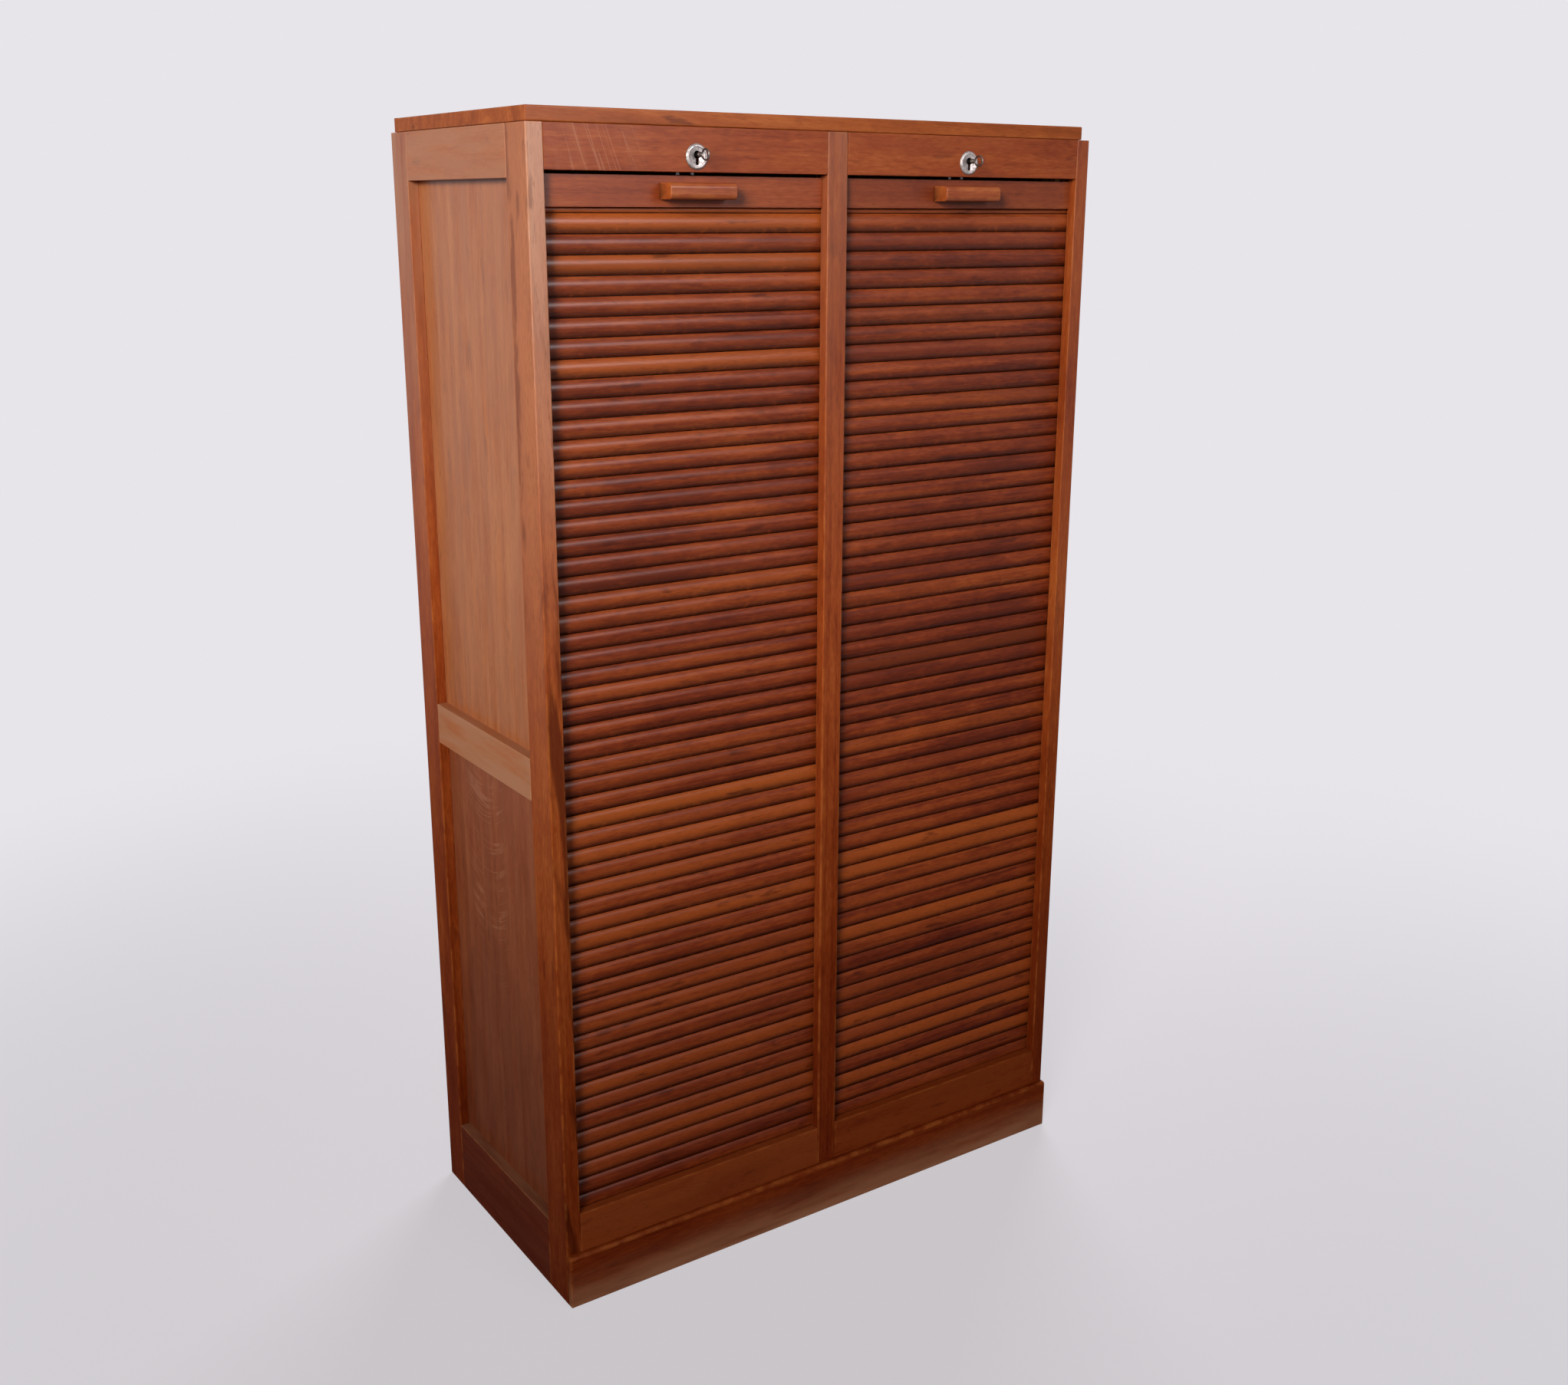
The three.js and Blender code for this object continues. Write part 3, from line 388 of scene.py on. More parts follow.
def oak(name, shades, grain=None, heart=None, polish=0.8, base_rough=0.42, figure=None, lively=1.0, coat_rough=0.32,
        foot_polish=0.07, foot=1.0):
    """Stained oak. The pieces made here give wood, cast and arris; for a CAD node, grain is the axis that the grain
    follows, and heart the place of the heart of the tree. lively is how strongly the rings and clouds show. figure
    gives pairs of a share and a tint from the place on the piece. Towards the floor the polish has worn down to the
    share foot_polish, and a painted shade darkens the colour."""
    deep, middle, light, purple, golden, pore_shade = shades
    f = Finish(bpy.data.materials.new(name))
    spot = f.spot()
    if grain is None:
        wood = f.attribute("wood", "Vector")
        tone, warmth, dirt_and_painted_light = f.parts(f.attribute("cast", "Vector"))
        arris = f.attribute("arris", "Fac")
    else:
        wood = f.node("ShaderNodeMapping", {}, {"Vector": spot, "Location": heart, "Rotation": GRAIN_TURN[grain]})
        tone = 0.0
    _, across, depth = f.parts(wood)
    bent = across + (f.noise(wood, (3.5, 30, 30), 3) - 0.5) * 0.008
    from_heart = (bent * bent + depth * depth) ** 0.5
    rings = f.rise(f.line_noise(from_heart * RINGS_PER_METRE, 3.0), 0.36, 0.64)
    bands = f.rise(f.line_noise(from_heart * BANDS_PER_METRE, 1.0), 0.34, 0.66)
    fibre = f.noise(wood, (16, 520, 520), 3, 0.6)
    cloud = f.noise(wood, (4.2, 24, 24), 3, 0.6)
    mottle = f.noise(wood, (17, 60, 60), 3, 0.6)
    speckle = f.noise(wood, (60, 260, 260), 2)
    patch = f.noise(spot, (4.1, 4.1, 4.1), 2)
    pores = f.rise(f.noise(wood, (60, 1300, 1300), 1), 0.54, 0.7) * (rings * 0.7 + 0.3)
    layers = (
        (rings, 0.16 * lively), (bands, 0.26 * lively), (cloud, 1.1 * lively), (mottle, 0.8 * lively),
        (fibre, 0.55), (speckle, 0.55), (patch, 0.6),
    )
    shade = 0.5 + tone * 0.5
    for layer, strength in layers:
        shade = shade + (layer - 0.5) * strength
    stain = f.node("ShaderNodeValToRGB", {"stops": ((0.1, deep), (0.5, middle), (0.9, light))}, {0: shade})
    stain = f.mix(f.rise(f.noise(wood, (3.2, 20, 20), 2), 0.46, 0.76) * 0.4, stain, purple)
    for share, tint in figure(f, spot) if figure else ():
        stain = f.mix(share, stain, tint)
    if grain is None:
        stain = f.mix(f.rise(warmth, 0, 1) * 0.75, stain, golden)
        stain = f.mix(f.rise(0 - warmth, 0, 1) * 0.7, stain, purple)
    stain = f.mix(pores * 0.45, stain, pore_shade)
    stain = f.mix(f.rise(f.noise(wood, (13, 52, 52), 3), 0.62, 0.74) * 0.55 * lively, stain, pore_shade)
    height = f.parts(spot)[Z]
    # Painted shade: the colour is multiplied darker towards the floor
    stain = f.mix((1 - f.rise(height, 0.0, PAINTED_SHADE_TOP)) * foot, stain, FOOT_PAINTED_SHADE, "MULTIPLY")
    if grain is None:
        # Wear and painted highlight: a golden edge on the arrises, which on the slats is only a painted highlight
        wear_and_highlight = arris * arris * f.rise(f.noise(spot, (40, 40, 40), 3), 0.35, 0.7)
        stain = f.mix(wear_and_highlight * 0.34, stain, golden)
        # Dirt and painted shade where the cast's last number is above 0; dust and painted light where it is below 0
        stain = f.mix(f.rise(dirt_and_painted_light, 0, 1) * f.rise(f.noise(spot, (90, 90, 90), 3), 0.1, 0.5), stain, SOIL_AND_SHADE)
        stain = f.mix(f.rise(0 - dirt_and_painted_light, 0, 1) * f.rise(f.noise(wood, (6, 45, 45), 3), 0.05, 0.65), stain, DUST_AND_PAINTED_LIGHT)
    rough = base_rough + (fibre - 0.5) * 0.3 + pores * 0.2
    normal = f.bump(0.3, 0.0004, fibre * 0.4 + cloud * 0.3 - pores * 0.5)
    coat = (f.rise(height, POLISH_WORN, POLISH_WHOLE) * (1 - foot_polish) + foot_polish) * polish
    return f.close(
        Base_Color=stain, Roughness=rough, Normal=normal, Coat_Weight=coat, Coat_Roughness=coat_rough,
        Specular_IOR_Level=0.0,
    )


def thin_lines(f, place, stretch, width):
    """Thin lines where soft noise passes one half."""
    off = f.noise(place, stretch, 1) - 0.5
    return 1 - f.rise(off * off, width * width * 0.2, width * width)


def curled(f, spot):
    """Pale slanted streaks over the left part of the rail, where the grain curls, and painted shade in the keyholes."""
    x, y, z = f.parts(spot)
    slanted = f.vector(x + z * 0.36, y, z)
    streaks = thin_lines(f, slanted, (72, 1, 2.5), 0.02)
    broad = f.rise(f.noise(slanted, (40, 1, 2), 1), 0.45, 0.7)
    where = f.rise(x, -0.468, -0.42) * (1 - f.rise(x, -0.38, -0.3))
    # Painted shade: the rail is painted dark behind each lock plate, so the keyholes look dark
    keyhole_shade = 0.0
    for _, label in SIDES:
        plate = limits(f"lock_plate_{label}").mean(0)
        off_x, off_z = x - float(plate[X]), z - float(plate[Z])
        keyhole_shade = keyhole_shade + (1 - f.rise(off_x * off_x + off_z * off_z, 0.0002, 0.00024))
    return (broad * where * 0.14, PALE), (streaks * where * 0.22, BRIGHT), (keyhole_shade, SOIL_AND_SHADE)


def painted_shade_right(f, spot):
    """A painted shade darkens the rail at the right."""
    return ((f.rise(f.parts(spot)[X], -0.02, 0.02) * 0.3, DARK_GRAIN),)


def flecked(f, spot):
    """Pale flecks that hang in arcs down the panel."""
    x, y, z = f.parts(spot)
    off = y - 0.06
    bowed = f.vector(z - off * off * 5, y, x)
    arcs = thin_lines(f, bowed, (50, 2.5, 1), 0.024) * f.rise(f.noise(spot, (1, 24, 24), 1), 0.38, 0.56)
    wide = f.rise(f.noise(bowed, (30, 4, 1), 2), 0.5, 0.7)
    where = (1 - f.rise(off * off, 0.002, 0.006)) * f.rise(z, 0.42, 0.52) * (1 - f.rise(z, 0.76, 0.86))
    return (wide * where * 0.12, PALE), (arcs * where * 0.3, BRIGHT)


def post_grain_and_sheen(f, spot):
    """A front post: a painted sheen that grows towards its top on the front, flames of dark grain, painted light on the
    upper outer side, and a knotty streak down that side."""
    x, y, z = f.parts(spot)
    front = 1 - f.rise(y, FRONT + 0.0012, FRONT + 0.004)
    slanted = f.vector(x + z * 0.1, y, z)
    # Painted sheen: the front face is painted paler towards its top
    painted_sheen = f.rise(z, 0.95, 1.75) * (0.5 + f.noise(slanted, (60, 20, 4), 2) * 0.8) * (front * 0.7 + 0.15)
    flames = f.rise(f.noise(slanted, (40, 40, 3.6), 3), 0.48, 0.62) * (1 - f.rise(z, 1.1, 1.7) * 0.75) * front
    streak = f.rise(y, -0.172, -0.164) * (1 - f.rise(y, -0.155, -0.15)) * f.rise(z, 0.9, 1.2)
    streak = streak * f.rise(f.noise(spot, (1, 60, 14), 3), 0.42, 0.62)
    # Painted light: the outer side is painted paler towards its top
    outer = (1 - front) * f.rise(z, 0.7, 1.4) * 0.45
    return (painted_sheen, PAINTED_SHEEN_TINT), (outer, PALE), (flames * 0.85, DARK_GRAIN), (streak * 0.55, DARK_GRAIN)


def metal(name, bright, dull, rough, wear):
    """Plated or bare metal: dull patches, fine scratches and a little pitting."""
    f = Finish(bpy.data.materials.new(name))
    spot = f.spot()
    patches = f.rise(f.noise(spot, (260, 260, 260), 4, 0.6), 0.42, 0.68)
    scratches = f.noise(spot, (2600, 300, 900), 2)
    tint = f.mix(patches * wear, bright, dull)
    normal = f.bump(0.25, 0.0001, scratches * 0.4 - patches * 0.4)
    return f.close(Base_Color=tint, Metallic=1.0, Roughness=rough + patches * 0.22 + scratches * 0.12, Normal=normal)


def stained(*screen_colours):
    """The shades of a stained wood: deep, middle and light grain, purple and golden clouds, and pores."""
    return [colour(*each) for each in screen_colours]


# Tint of dirt and of painted shade
SOIL_AND_SHADE = colour(48, 19, 10)
# Tint of dust and of painted light and sheen
DUST_AND_PAINTED_LIGHT = colour(176, 122, 90)
PALE = colour(190, 122, 82)
BRIGHT = colour(204, 146, 114)
# Tint of the painted sheen at the top of the front post
PAINTED_SHEEN_TINT = colour(204, 152, 126)
DARK_GRAIN = colour(92, 34, 12)
# Tint of the painted shade towards the floor
FOOT_PAINTED_SHADE = (0.52, 0.36, 0.32, 1)
FRAME_STAIN = stained((122, 46, 16), (154, 70, 28), (180, 96, 44), (134, 58, 30), (188, 108, 48), (86, 31, 12))
LEAD_STAIN = stained((116, 46, 20), (146, 66, 30), (168, 86, 42), (134, 58, 30), (188, 108, 48), (86, 31, 12))
PANEL_STAIN = stained((144, 70, 28), (168, 90, 40), (188, 110, 54), (148, 76, 42), (192, 118, 56), (110, 50, 20))
LOWER_STAIN = stained((122, 54, 26), (145, 72, 40), (164, 90, 52), (126, 62, 42), (168, 96, 50), (92, 40, 20))
SLAT_STAIN = stained((93, 33, 15), (130, 54, 24), (158, 75, 34), (116, 48, 27), (184, 94, 38), (62, 22, 11))
INSIDE_STAIN = stained((148, 98, 56), (184, 136, 86), (208, 166, 116), (170, 120, 84), (206, 160, 100), (112, 70, 38))
PLY_STAIN = stained((140, 90, 52), (172, 120, 74), (196, 148, 98), (160, 108, 76), (192, 140, 86), (110, 68, 38))

oak_frame = oak("oak frame", FRAME_STAIN, lively=0.7, polish=0.6)
oak_panel = oak("oak panel", PANEL_STAIN, lively=0.9)
oak_lower = oak("oak lower panel", LOWER_STAIN, lively=0.8)
oak_figured = oak("oak panel with flecks", LOWER_STAIN, figure=flecked, lively=0.8)
oak_slat = oak("oak slat", SLAT_STAIN, coat_rough=0.34, polish=0.42, foot_polish=0.28, foot=0.7)
oak_top = oak("oak top board", FRAME_STAIN, lively=1.1, polish=0.3)
oak_post = oak("oak front post", FRAME_STAIN, figure=post_grain_and_sheen, lively=0.8, polish=0.5)
oak_rail = oak("oak top rail", FRAME_STAIN, X, (0, 0.16, -1.6), figure=curled, lively=0.6, polish=0.4)
oak_lead = oak("oak lead rail", LEAD_STAIN, X, (3, 0.2, -1.75), figure=painted_shade_right, lively=0.7, polish=0.5)
inside_across = oak("inside boards across", INSIDE_STAIN, X, (0, 0.5, 0.4), polish=0.2, base_rough=0.5)
inside_upright = oak("inside boards upright", INSIDE_STAIN, Z, (0, 0.6, 0.3), polish=0.2, base_rough=0.5)
plywood = oak("plywood", PLY_STAIN, Z, (0, 0.05, 0.4), polish=0.1, base_rough=0.55)
nickel = metal("nickel", colour(162, 156, 152), colour(106, 98, 94), 0.36, 0.8)
steel = metal("steel", colour(112, 102, 96), colour(62, 54, 48), 0.32, 0.8)


# ---- Carcass

# Dust and a painted light on the top face of a side's bottom rail
LEDGE, LEDGE_DUST_AND_LIGHT = 0.6 * MM, 0.4
PLINTH_ROUND = 5 * MM
FLOOR_DUST_TOP, FLOOR_DUST_FADE = 60 * MM, 45 * MM
# Painted sheen on the posts: it starts at this height and is whole this much higher
PAINTED_SHEEN_FROM, PAINTED_SHEEN_OVER = 1.0, 0.75


def frame_board(name, low, high, grain, face, cast, plain, finish=oak_frame, slot="oak_frame", radius=ARRIS,
                dust_and_light_above=None):
    """One board, from its corners. Above the height of its last argument it gets dust and a painted light."""
    shape = rounded_board(low, high, radius)
    if dust_and_light_above is not None:
        tone, warmth, dirt_and_painted_light = cast
        cast = cast_over(tone, warmth, dirt_and_painted_light - LEDGE_DUST_AND_LIGHT * (shape[0][:, Z] > dust_and_light_above))
    wood = sawn(shape[0], name, grain, face, plain)
    piece(name + "_wood", shape, "carcass", finish, (name,), wood, cast)


def post(name, corners, radii, tone, warmth, finish=oak_frame, painted_sheen=0.0):
    """An upright with its grooves and rebates, from its outline in X and Y. Its last argument is a painted sheen at its
    top.
    """
    low, high = limits(name)
    shape = swept(*moulding_outline(corners, radii), Z, low[Z], high[Z], ARRIS, 8)
    # Painted sheen: a paler cast towards the top of the post
    pale = -painted_sheen * np.clip((shape[0][:, Z] - PAINTED_SHEEN_FROM) / PAINTED_SHEEN_OVER, 0, 1)
    wood = sawn(shape[0], name, Z, Y)
    piece(name + "_wood", shape, "carcass", finish, (name,), wood, cast_over(tone, warmth, pale))


def track(x, inward):
    """Corners of the groove for a curtain, in a wall at x. inward is the sign of X into the wall."""
    floor, front, back = x + inward * TRACK_DEPTH, FRONT + TRACK_FRONT, FRONT + TRACK_BACK
    return [(x, front), (floor, front), (floor, back), (x, back)]


def top_board():
    """The board, and a lipping along its back edge."""
    low, high = limits("top_board")
    split = high[Y] - LIPPING_WIDTH
    board = rounded_board(low, (high[X], split - LIPPING_GAP, high[Z]), SOFT_ARRIS)
    lipping = rounded_board((low[X], split + LIPPING_GAP, low[Z]), high, FINE_ARRIS)
    wood = np.concatenate([sawn(board[0], "top_board", X, Z, 0.4), sawn(lipping[0], "lipping", X, Z, 0.4)])
    shape = joined(board, lipping)
    piece("top_board_wood", shape, "carcass", oak_top, ("top_board",), wood, (-0.05, 0.4, 0))


def side_frame(side, label):
    """The posts, rails and panels of one side, and the rail under its curtain."""
    front, back = limits(f"front_post_{label}"), limits(f"back_post_{label}")
    outer, inner = (front[0, X], front[1, X])[::-side]
    rebate = outer - side * REBATE_START
    front_step, back_step = front[1, Y] - REBATE_WIDTH, back[0, Y] + REBATE_WIDTH
    corners = [
        (outer, front[0, Y]), (inner, front[0, Y]), *track(inner, side), (inner, front_step), (rebate, front_step),
        (rebate, front[1, Y]), (outer, front[1, Y]),
    ]
    radii = [SOFT_ARRIS, ARRIS] + [FINE_ARRIS] * 7 + [ARRIS]
    tone, finish = (0.25, oak_post) if side < 0 else (0.0, oak_frame)
    post(f"front_post_{label}", corners[::-side], radii[::-side], tone, 0.1, finish)
    corners = [
        (outer, back[0, Y]), (rebate, back[0, Y]), (rebate, back_step), (inner, back_step), (inner, back[1, Y]),
        (outer, back[1, Y]),
    ]
    radii = [ARRIS, FINE_ARRIS, FINE_ARRIS, FINE_ARRIS, ARRIS, ARRIS]
    post(f"back_post_{label}", corners[::-side], radii[::-side], -0.1, 0.15, painted_sheen=0.7)

    # Below 0 the last number of these casts paints the side paler: dust and a painted light
    for rail, cast in (("top", (0.5, 0.4, -0.6)), ("mid", (1.1, 0.5, -0.9)), ("bottom", (-0.8, -0.2, -0.15))):
        name = f"side_{rail}_rail_{label}"
        low, high = limits(name)
        low[Y], high[Y] = front[1, Y] + JOIN_GAP, back[0, Y] - JOIN_GAP
        frame_board(name, low, high, Y, X, cast, 0.5, dust_and_light_above=high[Z] - LEDGE if rail == "bottom" else None)
    lower = oak_figured if side < 0 else oak_lower
    # The panels' casts, too, paint them paler below 0: dust and a painted light
    panels = (("upper", (0.1, 0.1, -0.45), 0.2, oak_panel), ("lower", (0.05, 0.15, -0.25), 0.5, lower))
    for panel, cast, plain, finish in panels:
        name = f"side_{panel}_panel_{label}"
        frame_board(name, *limits(name), Z, X, cast, plain, finish, "oak_panel", FINE_ARRIS)

    name = f"front_bottom_rail_{label}"
    low, high = limits(name)
    low[X], high[X] = sorted((side * (limits("divider_post")[1, X] + JOIN_GAP), inner - side * JOIN_GAP))
    frame_board(name, low, high, X, Y, (1.1, 0.1, -0.1) if side < 0 else (0.7, -0.3, 0), 0.9)


def divider_post():
    """The post between the curtains, with a groove in each side."""
    low, high = limits("divider_post")
    corners = [(low[X], low[Y]), (high[X], low[Y])]
    for x, side in ((high[X], 1), (low[X], -1)):
        corners += [*track(x, -side), (x, high[Y])][::side]
    post("divider_post", corners, [SOFT_ARRIS, SOFT_ARRIS] + [FINE_ARRIS] * 10, -0.15, 0.0, painted_sheen=0.35)


def plinth():
    """A board along the front with a rounded upper edge, and dust near the floor."""
    low, high = limits("plinth")
    corners = [(low[Y], low[Z]), (high[Y], low[Z]), (high[Y], high[Z]), (low[Y], high[Z])]
    outline = moulding_outline(corners, [ARRIS, FINE_ARRIS, FINE_ARRIS, PLINTH_ROUND], 7)
    shape = swept(*outline, X, low[X], high[X], SOFT_ARRIS, 12)
    dirt_and_painted_light = 0.08 - 0.8 * np.clip((FLOOR_DUST_TOP - shape[0][:, Z]) / FLOOR_DUST_FADE, 0, 1)
    wood = sawn(shape[0], "plinth", X, Y, 0.6)
    piece("plinth_wood", shape, "carcass", oak_frame, ("plinth",), wood, cast_over(0.1, -0.1, dirt_and_painted_light))


top_board()
for side, label in SIDES:
    side_frame(side, label)
divider_post()
for name, axis in (("back_top_rail", X), ("back_bottom_rail", X), ("back_muntin", Z)):
    low, high = limits(name)
    low[axis] += TENON
    high[axis] -= TENON
    frame_board(name, low, high, axis, Y, (0.1, 0.1, 0), 0.5)
plinth()


# ---- Curtains

SLAT_PITCH = 27.65 * MM
SLAT_SLIT = 0.8 * MM
SLAT_CROWN = 5.5 * MM
SLAT_EDGE = 2 * MM
SLAT_COUNT = 57
SLAT_TILT, SLAT_PLAY = 0.4 * MM, 0.25 * MM
PALER_BELOW, PALER_OVER = 0.95, 0.3
CANVAS = 1 * MM
BEAD = 8 * MM

# Down a slat, from -1 at its top edge to 1 at its foot, and how far the front is drawn in from the arc there
ARC = np.linspace(-1, 1, 11) * 0.955
DOWN = np.concatenate([[-1, -1, -0.992, -0.978], ARC, [0.978, 0.992, 1, 1]])
SHOULDER = [SLAT_EDGE, 1.1 * MM, 0.45 * MM, 0.12 * MM]
DROP = np.array([*SHOULDER, *(0 * ARC), *SHOULDER[::-1]])
END_COLUMNS = np.array([0, 1.5, 7.2, 9, 13, 22, 45]) * MM
MIDDLE_START, MIDDLE_COLUMNS = 90 * MM, 7
# How far the painted shade at the slats' ends reaches
END_SHADE_REACH = 14 * MM


def slat_faces(low, high, dice):
    """Slats on canvas as one surface. Across a slat the front is an arc of a circle, which stands proud by the crown
    at the middle of the slat, and rounds over into the slit at both edges. Over the slats lies a narrow bead, which
    counts as number 0. Gives the points and faces, each point's number and place down its slat, and the slats' tops."""
    height = SLAT_PITCH - SLAT_SLIT
    tall = np.full(SLAT_COUNT + 1, height)
    tall[0] = BEAD - JOIN_GAP - SLAT_SLIT
    top_of = high[Z] - np.concatenate([[0], BEAD - JOIN_GAP + SLAT_PITCH * np.arange(SLAT_COUNT)])
    crown = SLAT_CROWN * tall / height
    radius = tall**2 / (8 * crown) + crown / 2
    from_middle = DOWN * tall[:, None] / 2
    arc = np.sqrt(np.maximum(radius[:, None]**2 - from_middle**2, 0)) - (radius - crown)[:, None]
    arc_edge = arc[:, len(SHOULDER), None]
    proud = np.maximum(np.where(DROP > 0, np.minimum(arc, arc_edge), arc), 0)
    tilt = dice.uniform(-SLAT_TILT, SLAT_TILT, (SLAT_COUNT + 1, 1))
    play = dice.uniform(-SLAT_PLAY, SLAT_PLAY, (SLAT_COUNT + 1, 1))
    play = (tilt * DOWN + play) * (DROP < SLAT_EDGE)
    front_y = high[Y] - CANVAS - SLAT_EDGE - proud + DROP + play
    front_z = top_of[:, None] - tall[:, None] / 2 - from_middle
    rows = front_z.size
    front = np.stack([front_y.ravel(), front_z.ravel()], 1)
    rear = np.stack([np.full(rows, high[Y]), front_z.ravel()], 1)
    middle = np.linspace(low[X] + MIDDLE_START, high[X] - MIDDLE_START, MIDDLE_COLUMNS)
    columns = np.concatenate([low[X] + END_COLUMNS, middle, high[X] - END_COLUMNS[::-1]])
    points = np.empty((len(columns), 2 * rows, 3))
    points[..., X] = columns[:, None]
    points[..., 1:] = np.concatenate([front, rear[::-1]])
    step = np.arange(rows - 1)
    cap = np.stack([step, step + 1, 2 * rows - 2 - step, 2 * rows - 1 - step], 1)
    quads = lattice(len(columns), 2 * rows, round_columns=True)
    faces = [*quads, *cap[:, ::-1], *(cap + (len(columns) - 1) * 2 * rows)]
    number, down = np.repeat(np.arange(SLAT_COUNT + 1), len(DOWN)), np.tile(DOWN, SLAT_COUNT + 1)
    number, down = (np.tile(np.concatenate([each, each[::-1]]), len(columns)) for each in (number, down))
    return points.reshape(-1, 3), faces, number, down, top_of


def curtain(side, label):
    """A slat curtain. Every slat is sawn from its own board, and a painted light makes the lower ones paler. Painted
    shade darkens the slits and the lower half of each slat, and, with some dirt, the slats' ends; a painted highlight
    runs along the upper edges."""
    name = f"slat_curtain_{label}"
    low, high = limits(name)
    dice = seeded(name)
    points, faces, number, down, top_of = slat_faces(low, high, dice)
    # Painted light: the slats below PALER_BELOW are painted paler, growing over PALER_OVER
    lower = np.clip((PALER_BELOW - top_of) / PALER_OVER, 0, 1)
    tone = np.clip(dice.normal(0, 0.22, SLAT_COUNT + 1), -0.4, 0.45) - 0.05 + lower * 0.4
    warmth = dice.normal(0.02, 0.25, SLAT_COUNT + 1) + lower * 0.12
    warmth += (dice.random(SLAT_COUNT + 1) > 0.9) * 0.5
    if side > 0:
        tone, warmth = tone - 0.12 * (1 - lower), warmth - 0.1 * (1 - lower)
    # The bead and the first slat are paler boards; the bead's brightness is also a painted highlight under the lead
    # rail
    tone[:2], warmth[:2] = 0.6, 0.6 if side < 0 else 0.2
    start = dice.uniform(0, 40, SLAT_COUNT + 1)
    side_of, heart_of = dice.uniform(0.02, 0.2, SLAT_COUNT + 1), dice.uniform(0.01, 0.09, SLAT_COUNT + 1)
    slope = dice.uniform(-0.02, 0.02, SLAT_COUNT + 1)
    wood = np.stack([
        points[:, X] + start[number],
        points[:, Z] - top_of[number] + side_of[number],
        points[:, Y] - FRONT + heart_of[number] + slope[number] * points[:, X],
    ], 1)
    inner = limits("divider_post")[1, X], limits("front_post_right")[0, X]
    from_end = np.minimum(np.abs(points[:, X]) - inner[0], inner[1] - np.abs(points[:, X]))
    # Painted shade, with some dirt, at the slats' ends by the posts
    painted_shade = 0.2 * np.exp(-np.maximum(from_end, 0) / END_SHADE_REACH)
    # Painted shade in the slits between the slats
    painted_shade = np.maximum(painted_shade, np.clip((np.abs(down) - 0.96) / 0.03, 0, 1))
    # Painted shade over the lower half of each slat
    painted_shade = np.maximum(painted_shade, np.clip((down + 0.1) / 0.85, 0, 1) ** 1.2 * 0.6)
    # Less painted shade on the bead
    painted_shade *= np.where(number == 0, 0.25, 1)
    # Painted highlight along the upper edge of each slat
    painted_top_highlight = np.exp(-(((down + 0.93) / 0.06) ** 2))
    cast = np.stack([tone[number], warmth[number], painted_shade], 1)
    made = piece(name + "_wood", (points, faces, painted_top_highlight), "carcass", oak_slat, (name,), wood, cast)
    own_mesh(made)


# ---- Pull, lock plate and key

PULL_ROUND, PULL_END_ROUND = 7 * MM, 1.4 * MM
# How far the painted shade along the pull's back reaches
PULL_SHADE_REACH = 3 * MM
KEYHOLE_RISE = 2.5 * MM
KEYHOLE_RADIUS = 5.2 * MM
KEYHOLE_HALF_SLOT = 2.3 * MM
KEYHOLE_DROP = 13.5 * MM
SHANK = 2.5 * MM
BOW_WIRE = 1.3 * MM
BOW_HALF_LENGTH, BOW_HALF_HEIGHT, BOW_HALF_WIDTH = 10 * MM, 8.5 * MM, 1.4 * MM

# Millimetres: radius of the key's collars and neck, and how far each lies behind the neck's start
COLLARS = (
    (2.5, 6.6), (3.3, 6.2), (3.8, 5.4), (3.8, 4.9), (3.0, 4.2), (2.7, 3.8), (3.1, 3.2), (3.5, 2.5), (3.1, 1.8),
    (2.4, 1.2), (2.3, 0), (1.6, -1.2), (0, -1.4),
)


def pull(label):
    """A bar with a round front, from its outline in Y and Z. A painted shade darkens it along its back."""
    name = f"pull_{label}"
    low, high = limits(name)
    corners = [(high[Y], low[Z]), (high[Y], high[Z]), (low[Y], high[Z]), (low[Y], low[Z])]
    outline = moulding_outline(corners, [FINE_ARRIS, ARRIS, PULL_ROUND, PULL_ROUND], 8)
    shape = swept(*outline, X, low[X], high[X], PULL_END_ROUND, 2)
    wood = sawn(shape[0], name, X, Y, 0.5)
    # Painted shade along the back, where the pull meets the rail
    painted_shade = 0.9 * np.clip((shape[0][:, Y] - high[Y] + PULL_SHADE_REACH) / PULL_SHADE_REACH, 0, 1)
    cast = cast_over(0.25, 0.05, painted_shade)
    piece(name + "_wood", shape, f"lead_{label}", oak_frame, (name,), wood, cast)


